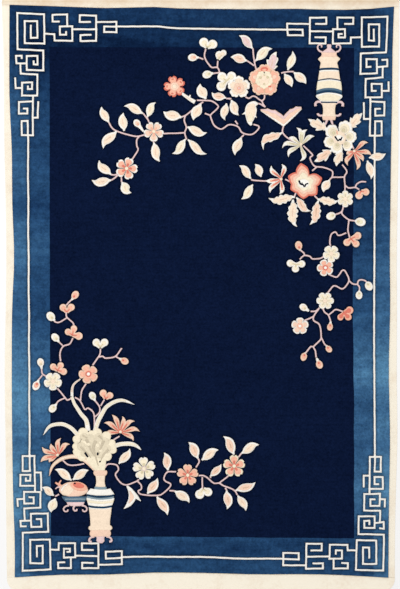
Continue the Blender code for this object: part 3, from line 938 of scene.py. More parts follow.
def lay_lobed_leaf(chart):
    """The broad leaf with a small lobe on each side."""
    line = [(258, 103.6), (254.4, 104.2), (251.6, 108), (250.8, 113), (250.4, 118), (250.2, 122),
            (251.6, 125.2)]
    chart.lay_line("ivory", [(248, 111.8), (242.4, 114.4)], 4.6, 0.5)
    chart.lay_line("ivory", [(252.6, 113), (256.8, 117.6)], 5, 0.5)
    chart.lay_shaped("ivory", line, [1.8, 6.6, 11.2, 12, 11.2, 8.6, 6, 2])
    chart.lay_shaped("sand", line[1:-1], [2.4, 8.4, 9.6, 9, 6.6, 3])
    chart.lay_shaped("cream", line[3:-1], [1, 5.4, 5, 2])


def lay_forked_leaf(chart):
    """The broad leaf that parts in two: each arm arches, is scalloped above and finely toothed below."""
    low_fork = (283.5, 126.8)
    high_fork = (283.5, 116.1)
    place = np.linspace(0, 1, 40)
    arch = np.sin(np.pi * place**0.9) * 4.4
    scallops = 1 - 0.3 * np.abs(np.sin(np.pi * 3 * place)) * np.sin(np.pi * place)
    teeth = 0.5 * ((place * 8) % 1)
    for low_tip, high_tip in (((259.4, 109.9), (259.4, 109.5)), ((302.8, 108.4), (302.4, 107))):
        low = np.linspace(low_fork, low_tip, 40)
        high = np.linspace(high_fork, high_tip, 40)
        high[:, 1] -= arch * scallops
        low[:, 1] += teeth * np.sin(np.pi * place)
        thick = low - high
        for start, end, yarn in ((0.0, 1.0, "ivory"), (0.0, 0.8, "peach"), (0.04, 0.34, "rose")):
            chart.lay(yarn, np.vstack([(high + thick * start)[:38], (high + thick * end)[:38][::-1]]))


def lay_side_lobed_leaf(chart):
    """The drooping leaf with one side lobe."""
    chart.lay_shaped("ivory", [(132, 493), (136.4, 497), (141, 501.4)], [6, 4, 0.5])
    line = [(127, 486), (131, 491.5), (132.2, 498), (129, 504), (124, 509)]
    chart.lay_shaped("ivory", line, [1.8, 5.6, 7.6, 5.4, 0.6])
    chart.lay_shaped("peach", [(130.2, 491), (131.8, 497.6), (128.8, 503.4)], [1, 4.6, 1])


# The flower head in the lower vase: its lobes, shaded middles and lights as across, down and radius, and the
# folds between the lobes as a width and a line.
HEAD_LOBES = [(83.2, 432.8, 5), (91.4, 434, 3.6), (97.4, 432.6, 4.4), (106, 436.2, 5), (111.6, 443.2, 4),
              (112.6, 449.8, 4.2), (107.2, 456.4, 4.8), (76.8, 439.6, 4.2), (75.8, 446.6, 3.6),
              (76.8, 452, 4.2),
              (81.6, 457, 4.2), (94.6, 446.6, 14.8)]
HEAD_SHADES = [(84, 437, 3.8), (90.4, 439.6, 5), (98.4, 437.4, 4.2), (105, 441.6, 4.2), (106.8, 449, 4.4),
               (81.4, 446.6, 4.2), (84.4, 453, 3.8), (101, 454.6, 4), (93.6, 448.6, 8)]
HEAD_LIGHTS = [(97.6, 445.4, 2.2), (88.6, 444.4, 1.8), (100.6, 451, 1.6), (92.4, 458.4, 1.6)]
HEAD_FOLDS = [
    (3.4, [(95.6, 440.6), (93.6, 448), (96, 457), (98.4, 466)]),
    (2.8, [(86.4, 439.6), (89.6, 447), (93.8, 455.6)]),
    (3, [(103.8, 440.6), (100.8, 448), (98.6, 455.6)]),
    (2.2, [(80.6, 447), (86.6, 453), (93, 460)]),
    (2.4, [(108.6, 449.6), (103.6, 455), (100.6, 462)]),
    (2.2, [(98.6, 435.6), (102.6, 439.4)]),
    (1.8, [(82.6, 435.6), (87.4, 438.4)]),
]


def lay_vase_peony(chart):
    """The pale flower head that stands in the lower vase, and its neck."""
    chart.lay_line("cream", [(96, 456), (98.8, 464), (100.2, 472)], 22, 9.2)
    chart.lay_discs("cream", HEAD_LOBES, 18)
    chart.lay_discs("bone", HEAD_SHADES, 14)
    for start_width, points in HEAD_FOLDS:
        chart.lay_line("stone", points, start_width, 0.8)
    chart.lay_discs("cream", HEAD_LIGHTS, 10)
    chart.lay_line("ink", [(84.9, 452.6), (86.4, 455), (88, 457.2)], 2.2, 1.8)
    chart.lay("ink", oval(97.8, 454, (0, 1), 1.7, 1, 10))
    chart.lay("ink", disc(100.1, 461.8, 0.9, 9))


def lay_turned(chart, middle, bands):
    """A vase: each band's edge is a little curved, as seen from above or below."""
    for band in bands:
        rows = np.array(band.rows)
        line = smooth_line(rows) if len(rows) > 2 else rows
        down, half = line[:, 0], line[:, 1]
        share = np.linspace(-1, 1, 11)
        low_curve = band.curve if band.low_curve is None else band.low_curve
        ends = []
        for edge, curve in ((0, band.curve), (-1, low_curve)):
            across = middle + share * half[edge]
            ends.append(np.stack([across, down[edge] + curve * (1 - share**2)], axis=1))
        right = np.stack([middle + half, down], axis=1)
        left = np.stack([middle - half, down], axis=1)
        chart.lay(band.yarn, np.vstack([ends[0], right[1:-1], ends[1][::-1], left[1:-1][::-1]]))


def lay_curl(chart, curl):
    """A curled handle or foot, and its mirror image if it has one."""
    points = np.array(curl.points)
    chart.lay_line("rose", points, curl.start_width, curl.end_width)
    if curl.mirror is not None:
        mirrored = np.stack([2 * curl.mirror - points[:, 0], points[:, 1]], axis=1)
        chart.lay_line("rose", mirrored, curl.start_width, curl.end_width)


def lay_fruit_bowl(chart):
    """The round fruit with its crown, in a footed bowl."""
    chart.lay_line("salmon", [(62.4, 487), (58.6, 484.6), (55.2, 482.6)], 3.4, 1.6)
    chart.lay_line("salmon", [(59.6, 485.6), (59.6, 482.8), (61.2, 480.2)], 2.4, 1.2)
    chart.lay_line("rose", [(60.8, 487.2), (57.6, 487.4), (55.4, 489.2)], 2, 1)
    angle = np.linspace(0, 2 * np.pi, 40, endpoint=False)
    rise = np.where(np.sin(angle) > 0, 6.6, 8.6)
    chart.lay("peach", np.stack([73.6 + 14.4 * np.cos(angle), 490.4 + rise * np.sin(angle)], axis=1))
    chart.lay("sand", oval(67.6, 490.6, (0.88, -0.47), 7, 4.6))
    chart.lay_line("ivory", [(61.4, 491), (63.6, 487), (68, 484.2)], 1.6, 1)
    chart.lay("salmon", oval(78.8, 486.4, (0.97, 0.24), 8.6, 4.4, 22))
    chart.lay("coral", oval(78.6, 485.4, (0.97, 0.24), 5.8, 2.7, 18))
    chart.lay("ink", disc(74.9, 483.4, 1, 9))
    chart.lay("slate", [(61.6, 496.6), (87, 496.6), (85.8, 500), (84.4, 502.6), (66.4, 502.6),
                        (64, 500.4)])
    chart.lay_line("mist", [(65, 499.4), (85.4, 499.4)], 1.5)
    chart.lay("rose", [(66.4, 502.4), (84.6, 502.4), (83.4, 505), (79.8, 506.4), (70.8, 506.4),
                       (67.4, 505)])


def lay_blade(chart, blade):
    """A long blade, pointed or cut off straight, with its heart down the middle."""
    line = smooth_line(blade.points)
    place = np.linspace(0, 1, len(line))
    widths = blade.start_width + (blade.end_width - blade.start_width) * place
    pointed = np.interp(place, [0, 0.72, 0.9, 1], [1, 1, 0.66, 0.12]) if blade.pointed else 1.0
    chart.lay(blade.rim, strip(line, widths * pointed))
    last = int(len(line) * 0.86)
    chart.lay(blade.heart, strip(line[:last], (widths * pointed)[:last] * 0.5))


def draw_chart():
    """The whole design, from the ground up."""
    chart = Chart()
    chart.lay("navy", FIELD)
    for line in GUARD_LINES:
        chart.lay_line("ivory", line, GUARD_WIDTH)
    for fret in FRETS:
        for line in fret.lines:
            places = [(fret.across + x / FINE_STEPS, fret.down + y / FINE_STEPS) for x, y in line]
            chart.lay_bars("ivory", places, FRET_WIDTH)
    for stem in STEMS:
        chart.lay_line("rose", stem, STEM_WIDTH)
    for blade in BLADES:
        lay_blade(chart, blade)
    for leaf in LEAVES:
        lay_leaf(chart, leaf)
    lay_lobed_leaf(chart)
    lay_side_lobed_leaf(chart)
    lay_forked_leaf(chart)
    for leaf in CUT_LEAVES:
        lay_cut_leaf(chart, leaf)
    for bud in BUDS:
        lay_bud(chart, bud)
    for spray in SPRAYS:
        lay_spray(chart, spray)
    for star in STARS:
        lay_star(chart, star)
    for blossom in BLOSSOMS:
        lay_blossom(chart, blossom)
    lay_vase_peony(chart)
    for curl in CURLS:
        lay_curl(chart, curl)
    lay_turned(chart, *LOWER_VASE)
    lay_turned(chart, *UPPER_VASE)
    lay_fruit_bowl(chart)
    lay_cream_peony(chart)
    lay_coral_blossom(chart)
    lay_coral_peony(chart)
    lay_peach_blossom(chart)
    lay_large_coral_flower(chart)
    return chart.shapes


# From the chart to the rug.


LONG_SWING = 0.2
SHORT_SWING = 0.07


def hand_waver(points):
    """How far knots stray from a ruled line, in squares: long swings and short ones."""
    x, y = points[:, 0], points[:, 1]
    long_across = np.sin(y / 9.1 + 1.3) * np.cos(x / 11.3)
    long_down = np.sin(x / 10.3 + 0.4) * np.cos(y / 9.7 + 2)
    across = LONG_SWING * long_across + SHORT_SWING * np.sin(y / 2.3 + x / 3.1)
    down = LONG_SWING * long_down + SHORT_SWING * np.sin(x / 2.1 - y / 2.9 + 1)
    return points + np.stack([across, down], axis=1)


def finely(loop, step):
    """The loop with no edge longer than step."""
    after = np.roll(loop, -1, axis=0)
    made = []
    for here, there in zip(loop, after):
        count = max(1, math.ceil(np.linalg.norm(there - here) / step))
        t = (np.arange(count) / count)[:, None]
        made.append(here + (there - here) * t)
    return np.vstack(made)


def to_rug(points):
    """Chart squares to millimetres on the rug."""
    return np.stack([(points[:, 0] - MIDDLE_ACROSS) * SQUARE, (MIDDLE_DOWN - points[:, 1]) * SQUARE], axis=1)


def to_chart(points):
    return np.stack([points[:, 0] / SQUARE + MIDDLE_ACROSS, MIDDLE_DOWN - points[:, 1] / SQUARE], axis=1)


# The most point and edge pairs that are compared in one go, to save memory.
MOST_AT_ONCE = 4_000_000


def inside(points, loop):
    """Whether each point is inside the loop, also where the loop crosses itself."""
    found = np.zeros(len(points), bool)
    start = loop
    end = np.roll(loop, -1, axis=0)
    block = max(1, MOST_AT_ONCE // len(loop))
    for first in range(0, len(points), block):
        x = points[first : first + block, 0:1]
        y = points[first : first + block, 1:2]
        side = (end[:, 0] - start[:, 0]) * (y - start[:, 1]) - (x - start[:, 0]) * (end[:, 1] - start[:, 1])
        up = (start[:, 1] <= y) & (end[:, 1] > y) & (side > 0)
        down = (start[:, 1] > y) & (end[:, 1] <= y) & (side < 0)
        found[first : first + block] = up.sum(1) != down.sum(1)
    return found


def yarn_at(points, shapes):
    """The number of the yarn at each point. A later shape hides an earlier one."""
    points = np.round(points, 6)
    found = np.full(len(points), YARN_NUMBER["blue"])
    for number, loop in shapes:
        low = loop.min(0)
        high = loop.max(0)
        near = np.flatnonzero(((points >= low) & (points <= high)).all(1))
        if len(near):
            found[near[inside(points[near], loop)]] = number
    return found


def facing_up(places, faces):
    """The faces, with those turned over that would face down."""
    a, b, c = places[faces[:, 0]], places[faces[:, 1]], places[faces[:, 2]]
    turn = (b[:, 0] - a[:, 0]) * (c[:, 1] - a[:, 1]) - (b[:, 1] - a[:, 1]) * (c[:, 0] - a[:, 0])
    faces = faces.copy()
    faces[turn < 0] = faces[turn < 0][:, ::-1]
    return faces


def triangulate(points, edges, outline):
    """Triangles inside the outline that keep the given edges, and where each point went in the new places."""
    flat = [Vector((float(x), float(y))) for x, y in points]
    out = delaunay_2d_cdt(flat, [(int(a), int(b)) for a, b in edges], [], 1, SAME_POINT, True)
    places = np.array([(p[0], p[1]) for p in out[0]])
    went = np.full(len(points), -1)
    for number, given in enumerate(out[3]):
        went[given] = number
    faces = np.array(out[2], int)
    faces = faces[inside(places[faces].mean(1), outline)]
    return places, facing_up(places, faces), went


def ring_edges(first, count):
    """The edges of a closed ring of points that are numbered from first on."""
    here = np.arange(count)
    return np.stack([first + here, first + (here + 1) % count], axis=1)


def edge_list(faces):
    """Each edge once, and the two faces beside it, or -1 where there is none."""
    ends = np.concatenate([faces[:, [0, 1]], faces[:, [1, 2]], faces[:, [2, 0]]])
    owner = np.tile(np.arange(len(faces)), 3)
    ends = np.sort(ends, axis=1)
    edges, number, count = np.unique(ends, axis=0, return_inverse=True, return_counts=True)
    number = number.reshape(-1)
    order = np.argsort(number, kind="stable")
    first = np.concatenate([[0], np.cumsum(count)[:-1]])
    beside = np.full((len(edges), 2), -1)
    beside[:, 0] = owner[order[first]]
    two = count > 1
    beside[two, 1] = owner[order[first[two] + 1]]
    return edges, beside


def cad_outline():
    """The pile's outline from its CAD node, counterclockwise, in millimetres."""
    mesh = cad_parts["pile_rug"].data
    low = {(round(v.co.x / MM, 3), round(v.co.y / MM, 3)) for v in mesh.vertices if v.co.z < 0.1 * MM}
    return np.array(sorted(low, key=lambda p: math.atan2(p[1], p[0])))


def bowed(loop, step):
    """The loop with a point about every step. Each side bows out by a hair, so no three points line up."""
    made = []
    for here, there in zip(loop, np.roll(loop, -1, axis=0)):
        way = there - here
        length = np.linalg.norm(way)
        count = max(1, math.ceil(length / step))
        t = (np.arange(count) / count)[:, None]
        outward = np.array([way[1], -way[0]]) / length
        made.append(here + way * t + outward * (4 * SIDE_BOW * t * (1 - t)))
    return np.vstack(made)


def inset(loop, distance):
    """The loop moved inwards, for a counterclockwise loop."""
    before = loop - np.roll(loop, 1, axis=0)
    after = np.roll(loop, -1, axis=0) - loop
    before /= np.linalg.norm(before, axis=1)[:, None]
    after /= np.linalg.norm(after, axis=1)[:, None]
    left_before = np.stack([-before[:, 1], before[:, 0]], axis=1)
    left_after = np.stack([-after[:, 1], after[:, 0]], axis=1)
    mean = left_before + left_after
    mean /= (1 + (left_before * left_after).sum(1))[:, None]
    return loop + mean * distance


def colour_regions(shapes, outline):
    """The first triangulation: where two yarns meet, as points, edges and whether each edge is carved."""
    points = [outline]
    edges = [ring_edges(0, len(outline))]
    count = len(outline)
    for _, loop in shapes:
        points.append(loop)
        edges.append(ring_edges(count, len(loop)))
        count += len(loop)
    places, faces, _ = triangulate(np.vstack(points), np.vstack(edges), outline)
    yarn = yarn_at(places[faces].mean(1), shapes)
    edges, beside = edge_list(faces)
    one = yarn[beside[:, 0]]
    other = np.where(beside[:, 1] < 0, -1, yarn[beside[:, 1]])
    meet = (one != other) & (other >= 0)
    ground = [YARN_NUMBER[name] for name in GROUND]
    carved = np.isin(one, ground) != np.isin(other, ground)
    return places, edges[meet], carved[meet]


def along_edges(places, edges, step):
    """Points along the edges, and the direction to their side, about every step."""
    start = places[edges[:, 0]]
    way = places[edges[:, 1]] - start
    length = np.linalg.norm(way, axis=1)
    count = np.maximum(1, np.round(length / step)).astype(int)
    which = np.repeat(np.arange(len(edges)), count)
    order = np.arange(len(which)) - np.repeat(np.cumsum(count) - count, count)
    share = (order + 0.5) / count[which]
    side = np.stack([-way[:, 1], way[:, 0]], axis=1) / np.maximum(length, 1e-9)[:, None]
    return start[which] + way[which] * share[:, None], side[which]


def edge_tree(places, edges, step):
    """A search tree of points along the edges."""
    points = along_edges(places, edges, step)[0]
    tree = KDTree(len(points))
    for number, (x, y) in enumerate(points):
        tree.insert((x, y, 0), number)
    tree.balance()
    return tree


def distances(tree, points):
    return np.array([tree.find((x, y, 0))[2] for x, y in points])


def thinned(points, apart):
    """The points with no more than one in each cell of that size."""
    _, kept = np.unique(np.round(points / apart), axis=0, return_index=True)
    return points[np.sort(kept)]


def pile_height(points, edge, carved, joins):
    """The pile's height at each point, and how far it lies in the shade painted beside a carved line, from 0
    to 1.
    """
    swell = np.sin(2 * np.pi * points[:, 0] / SWELL_ACROSS) * np.sin(2 * np.pi * points[:, 1] / SWELL_ALONG)
    top = PILE_TOP + PILE_SWELL * swell
    shoulder = np.interp(edge, SHOULDER_INSETS, SHOULDER_HEIGHTS) + (edge >= SHOULDER_INSETS[-1])
    height = np.minimum(top, shoulder)
    groove = np.clip(1 - carved / CARVED_REACH, 0, 1)
    join = np.clip(1 - joins / CARVED_REACH, 0, 1)
    shade = np.clip(1 - carved / SHADED_REACH, 0, 1)
    return height - np.maximum(groove * CARVED_DEPTH, join * COLOUR_JOIN_DEPTH), shade


def faded(distance, reach):
    """From 0 to 1 as the distance grows to its reach."""
    return np.clip(distance / reach, 0, 1)


def painted_light_and_sheen(chart_points, left_edge, right_edge):
    """How pale the blue wool is painted at each point of the border, from 0 to 1: painted light and sheen."""
    across, down = chart_points[:, 0], chart_points[:, 1]
    rows = [lot.down for lot in PAINTED_LIGHT_ROWS]
    left = np.interp(down, rows, [lot.left for lot in PAINTED_LIGHT_ROWS])
    right = np.interp(down, rows, [lot.right for lot in PAINTED_LIGHT_ROWS])
    side = np.where(across < MIDDLE_ACROSS, left, right)
    inner = (across > GUARD_LEFT) & (across < GUARD_RIGHT)
    side = side - INNER_SIDE_DEEPER * inner
    to_side = np.minimum(across - left_edge, right_edge - across)
    at_top = faded(TOP_STRIP - down, STRIP_FADE) * faded(to_side - TOP_FROM_SIDE, TOP_SIDE_FADE)
    at_bottom = faded(down - BOTTOM_STRIP, STRIP_FADE) * faded(to_side - BOTTOM_FROM_SIDE, BOTTOM_SIDE_FADE)
    top = TOP_PAINTED_LIGHT - INNER_END_DEEPER * (down > GUARD_TOP)
    bottom = BOTTOM_PAINTED_LIGHT - INNER_END_DEEPER * (down < GUARD_BOTTOM)
    lot = side * (1 - at_top) + top * at_top
    return lot * (1 - at_bottom) + bottom * at_bottom


def mesh_object(name, points, faces, materials, numbers=None):
    """A new mesh object from points in millimetres, with one material for each face if numbers are given."""
    mesh = bpy.data.meshes.new(name)
    mesh.vertices.add(len(points))
    mesh.vertices.foreach_set("co", (np.asarray(points, float) * MM).astype(np.float32).ravel())
    mesh.loops.add(len(faces) * 3)
    mesh.loops.foreach_set("vertex_index", np.asarray(faces, np.int32).ravel())
    mesh.polygons.add(len(faces))
    mesh.polygons.foreach_set("loop_start", np.arange(len(faces), dtype=np.int32) * 3)
    for material in materials:
        mesh.materials.append(material)
    if numbers is not None:
        mesh.polygons.foreach_set("material_index", np.asarray(numbers, np.int32))
    mesh.update(calc_edges=True)
    mesh.validate()
    made = bpy.data.objects.new(name, mesh)
    bpy.context.scene.collection.objects.link(made)
    return made


def add_number(obj, name, values):
    """A number on each point, for a material to read."""
    layer = obj.data.attributes.new(name, "FLOAT", "POINT")
    layer.data.foreach_set("value", np.asarray(values, np.float32))


def at_height(places, height):
    return np.column_stack([places, np.full(len(places), height)])


def wall_faces(low_start, low_end, high_start, high_end):
    """Two triangles for each side of a wall, from the numbers of its four corners."""
    return np.vstack([
        np.column_stack([low_start, low_end, high_end]),
        np.column_stack([low_start, high_end, high_start]),
    ])


class Pile:
    """The pile's surface, worked out once: places, faces, the yarn of each face, heights and numbers."""

    def __init__(self):
        shapes = []
        for name, loop in draw_chart():
            fine = finely(loop, LOOP_STEP / SQUARE)
            shapes.append((YARN_NUMBER[name], to_rug(hand_waver(fine))))
        self.shapes = shapes
        self.outline = bowed(cad_outline(), OUTLINE_STEP)
        places, meet, carved = colour_regions(shapes, self.outline)
        used, edges = np.unique(meet, return_inverse=True)
        self.carved_edges = meet[carved]
        self.join_edges = meet[~carved]
        self.meet_places = places
        self.corners = np.vstack([places[used], self.outline])
        self.lines = np.vstack([edges.reshape(-1, 2), ring_edges(len(used), len(self.outline))])
        self.fill_top(edge_tree(places, meet, TREE_STEP), along_edges(places, meet, LOOP_STEP))
        self.low_places, self.low_faces, self.low_went = triangulate(self.corners, self.lines, self.outline)
        self.low_yarn = yarn_at(self.low_places[self.low_faces].mean(1), shapes)

    def fill_top(self, joins, beside):
        """The top's triangles, with points for the carved lines, the open ground and the rounded edge."""
        middles, sides = beside
        offsets = np.vstack([middles + sides * CARVED_REACH, middles - sides * CARVED_REACH])
        offsets = thinned(offsets[distances(joins, offsets) > CARVED_REACH * OFFSET_CLEAR], OFFSETS_APART)
        rings = [inset(self.outline, distance) for distance in SHOULDER_INSETS[1:]]
        outer = edge_tree(self.outline, ring_edges(0, len(self.outline)), OUTER_TREE_STEP)
        grid = self.open_grid(rings[-1])
        grid = grid[(distances(joins, grid) > GRID_CLEAR) & (distances(outer, grid) > EDGE_CLEAR)]
        points = [self.corners]
        lines = [self.lines]
        count = len(self.corners)
        for ring in rings:
            points.append(ring)
            lines.append(ring_edges(count, len(ring)))
            count += len(ring)
        every = np.vstack([*points, offsets, grid])
        self.places, self.faces, self.went = triangulate(every, np.vstack(lines), self.outline)
        self.yarn = yarn_at(self.places[self.faces].mean(1), self.shapes)
        carved = distances(edge_tree(self.meet_places, self.carved_edges, TREE_STEP), self.places)
        joined = distances(edge_tree(self.meet_places, self.join_edges, TREE_STEP), self.places)
        self.height, self.shade = pile_height(self.places, distances(outer, self.places), carved, joined)
        chart = to_chart(self.places)
        left = np.interp(chart[:, 1], *self.edge_column(-1))
        right = np.interp(chart[:, 1], *self.edge_column(1))
        self.lot = painted_light_and_sheen(chart, left, right)

    def open_grid(self, within):
        """Points in staggered rows over the open ground."""
        low, high = within.min(0), within.max(0)
        across = np.arange(low[0], high[0], OPEN_GRID)
        along = np.arange(low[1], high[1], OPEN_GRID)
        grid = np.stack(np.meshgrid(across, along), -1).reshape(-1, 2)
        grid[:, 0] += (np.round((grid[:, 1] - low[1]) / OPEN_GRID) % 2) * OPEN_GRID / 2
        return grid[inside(grid, within)]

    def edge_column(self, side):
        """The outline's left or right edge: down the chart, and across it."""
        chart = to_chart(self.outline)
        edge = chart[(chart[:, 0] - MIDDLE_ACROSS) * side > SIDE_FROM]
        edge = edge[np.argsort(edge[:, 1])]
        return edge[:, 1], edge[:, 0]

    def piece(self, number, material):
        """The pile of one yarn as a closed mesh: its cut top, its sides and its foot in the base."""
        top = self.faces[self.yarn == number]
        low = self.low_faces[self.low_yarn == number]
        edges = np.concatenate([low[:, [0, 1]], low[:, [1, 2]], low[:, [2, 0]]])
        back = {(b, a) for a, b in edges}
        rim = np.array([(a, b) for a, b in edges if (a, b) not in back])
        above = np.full(len(self.low_places), -1)
        above[self.low_went] = self.went[: len(self.low_went)]
        count = len(self.places)
        walls = wall_faces(rim[:, 0] + count, rim[:, 1] + count, above[rim[:, 0]], above[rim[:, 1]])
        faces = np.vstack([top, walls, low[:, ::-1] + count])
        every = np.vstack([at_height(self.places, self.height), at_height(self.low_places, KNOT_BOTTOM)])
        used, faces = np.unique(faces, return_inverse=True)
        made = mesh_object("pile_" + YARNS[number].name, every[used], faces.reshape(-1, 3), [material])
        for name, values in (("shade", self.shade), ("lot", self.lot)):
            add_number(made, name, np.concatenate([values, values[above]])[used])
        smooth = np.zeros(len(faces.reshape(-1, 3)), bool)
        smooth[: len(top)] = True
        made.data.polygons.foreach_set("use_smooth", smooth)
        return made

    def base(self, materials):
        """The woven base as a closed slab. The backs of the knots show underneath, in their own yarns."""
        count = len(self.low_places)
        rim = self.low_went[len(self.corners) - len(self.outline) :]
        ring = ring_edges(0, len(self.outline))
        top_places, top_faces, top_went = triangulate(self.outline, ring, self.outline)
        top_rim = top_went + count
        walls = wall_faces(rim, np.roll(rim, -1), top_rim, np.roll(top_rim, -1))
        every = np.vstack([at_height(self.low_places, 0.0), at_height(top_places, BASE_TOP)])
        faces = np.vstack([self.low_faces[:, ::-1], top_faces + count, walls])
        numbers = np.concatenate([self.low_yarn, np.full(len(top_faces) + len(walls), len(YARNS))])
        return mesh_object("base", every, faces, materials, numbers)


# Materials.


class Value:
    """A shader socket that Python's arithmetic works on."""

    def __init__(self, tree, socket):
        self.tree = tree
        self.socket = socket

    def calculate(self, operation, *others):
        node = self.tree.nodes.new("ShaderNodeMath")
        node.operation = operation
        for place, item in enumerate((self, *others)):
            join(self.tree, item, node.inputs[place])
        return Value(self.tree, node.outputs[0])

    def __add__(self, other):
        return self.calculate("ADD", other)

    def __mul__(self, other):
        return self.calculate("MULTIPLY", other)

    def __sub__(self, other):
        return self.calculate("SUBTRACT", other)

    def __rsub__(self, other):
        return (self * -1) + other

    __radd__ = __add__
    __rmul__ = __mul__

    def sine(self):
        return self.calculate("SINE")

    def clipped(self):
        return self.calculate("ADD", 0.0).calculate("MAXIMUM", 0.0).calculate("MINIMUM", 1.0)


def join(tree, item, socket):
    """Links a socket, or sets a plain value."""
    if isinstance(item, Value):
        tree.links.new(item.socket, socket)
    elif socket.type == "VECTOR":
        socket.default_value = item[:3]
    else:
        socket.default_value = item


def linear(*display):
    """Display numbers from 0 to 255 as an opaque linear colour."""
    share = [x / 255 for x in display]
    return (*(s / 12.92 if s <= 0.04045 else ((s + 0.055) / 1.055) ** 2.4 for s in share), 1)


class Finish:
    """One material and its nodes."""

    def __init__(self, name, roughness, sheen=0.0):
        self.material = bpy.data.materials.new(name)
        self.material.use_nodes = True
        self.tree = self.material.node_tree
        self.surface = self.tree.nodes["Principled BSDF"]
        self.surface.inputs["Roughness"].default_value = roughness
        self.surface.inputs["Specular IOR Level"].default_value = 0.0
        self.surface.inputs["Sheen Weight"].default_value = sheen
        self.surface.inputs["Sheen Roughness"].default_value = 0.6

    def node(self, kind, settings, inputs, output=0):
        """Any node: its settings first, then its sockets."""
        node = self.tree.nodes.new(kind)
        for name, value in settings.items():
            setattr(node, name, value)
        for name, item in inputs.items():
            join(self.tree, item, node.inputs[name])
        return Value(self.tree, node.outputs[output])

    def ramp(self, factor, stops):
        """A colour ramp of (place, display colour)."""
        node = self.tree.nodes.new("ShaderNodeValToRGB")
        elements = node.color_ramp.elements
        while len(elements) < len(stops):
            elements.new(0.5)
        for element, (place, colour) in zip(elements, stops):
            element.position = place
            element.color = linear(*colour)
        join(self.tree, factor, node.inputs["Fac"])
        return Value(self.tree, node.outputs["Color"])

    def place(self):
        return self.node("ShaderNodeTexCoord", {}, {}, "Object")

    def scaled(self, vector, scale):
        return self.node("ShaderNodeVectorMath", {"operation": "MULTIPLY"}, {0: vector, 1: scale})

    def noise(self, vector, scale, detail=2.0, roughness=0.5):
        settings = {"noise_dimensions": "3D"}
        inputs = {"Vector": vector, "Scale": scale, "Detail": detail, "Roughness": roughness}
        return self.node("ShaderNodeTexNoise", settings, inputs, "Fac")

    def number(self, name):
        return self.node("ShaderNodeAttribute", {"attribute_name": name}, {}, "Fac")

    def axis(self, vector, which):
        return self.node("ShaderNodeSeparateXYZ", {}, {"Vector": vector}, which)

    def dimmed(self, colour, amount):
        """The colour times a value."""
        return self.node("ShaderNodeVectorMath", {"operation": "SCALE"}, {0: colour, "Scale": amount})

    def blended(self, factor, one, other):
        node = self.tree.nodes.new("ShaderNodeMix")
        node.data_type = "RGBA"
        join(self.tree, factor, node.inputs[0])
        join(self.tree, one, node.inputs[6])
        join(self.tree, other, node.inputs[7])
        return Value(self.tree, node.outputs[2])

    def paint(self, colour):
        join(self.tree, colour, self.surface.inputs["Base Color"])

    def bump(self, height, strength, distance):
        inputs = {"Height": height, "Strength": strength, "Distance": distance}
        join(self.tree, self.node("ShaderNodeBump", {}, inputs), self.surface.inputs["Normal"])


# How uneven a yarn's dye is. The pale yarns are the most even.
MOTTLE = {"navy": 0.7, "blue": 0.6}
PALE_MOTTLE = 0.2

# How dark the shade painted beside the carved lines is, on the ground and on the motifs.
GROUND_SHADE = 0.62
MOTIF_SHADE = 0.08

# The undyed weft between the backs of the knots.
WEFT_COTTON = (206, 196, 176)

KNOT_ACROSS = 3.6
KNOT_ALONG = 3.4
BLUE_STOPS = [
    (0.0, (13, 31, 60)),
    (0.2, (24, 51, 86)),
    (0.45, (40, 75, 113)),
    (0.7, (60, 101, 139)),
    (1.0, (84, 132, 167)),
]


def knot_height(finish, place):
    """Soft rows of cut knots, with stray tufts."""
    x = finish.axis(place, "X")
    y = finish.axis(place, "Y")
    stray = finish.noise(place, 160.0, 1.0)
    rows = (y * (2 * math.pi / (KNOT_ALONG * MM)) + stray * 3.0).sine()
    columns = (x * (2 * math.pi / (KNOT_ACROSS * MM)) + stray * 3.0).sine()
    tufts = finish.noise(place, 900.0, 2.0)
    return rows * 0.22 + columns * 0.14 + tufts * 1.0


def wool(yarn):
    """Cut wool pile: each knot takes dye a little differently, shade is painted beside the carved lines, and
    the blue has painted light and sheen.
    """
    ground = yarn.name in GROUND
    strength = MOTTLE.get(yarn.name, PALE_MOTTLE)
    finish = Finish("wool_" + yarn.name, 0.93, 0.0 if ground else 0.04)
    place = finish.place()
    knots = finish.noise(place, 220.0, 2.0, 0.6)
    tufts = finish.noise(place, 90.0, 2.0, 0.6)
    patches = finish.noise(place, 34.0, 3.0, 0.65)
    rows = finish.noise(finish.scaled(place, (3.0, 90.0, 1.0)), 1.0, 2.0)
    clouds = finish.noise(place, 4.0, 2.0)
    tone = 1.0 + (knots - 0.5) * (1.0 * strength) + (tufts - 0.5) * (1.5 * strength)
    tone = tone + (patches - 0.5) * (1.1 * strength) + (rows - 0.5) * (0.5 * strength)
    tone = tone + (clouds - 0.5) * (0.4 * strength)
    # Painted shade: the colour is darkened beside the carved lines, most on the ground.
    tone = tone * (1.0 - finish.number("shade") * (GROUND_SHADE if ground else MOTIF_SHADE))
    if yarn.name == "blue":
        # The blue's paleness is painted light and sheen, with random streaks and patches.
        streaks = finish.noise(finish.scaled(place, (5.0, 26.0, 1.0)), 1.0, 3.0)
        lot = finish.number("lot") + (streaks - 0.5) * 0.3 + (clouds - 0.5) * 0.14 + (patches - 0.5) * 0.24
        colour = finish.ramp(lot, BLUE_STOPS)
    else:
        colour = linear(yarn.red, yarn.green, yarn.blue)
    finish.paint(finish.dimmed(colour, tone))
    finish.bump(knot_height(finish, place), 0.5, 0.0012)
    return finish.material


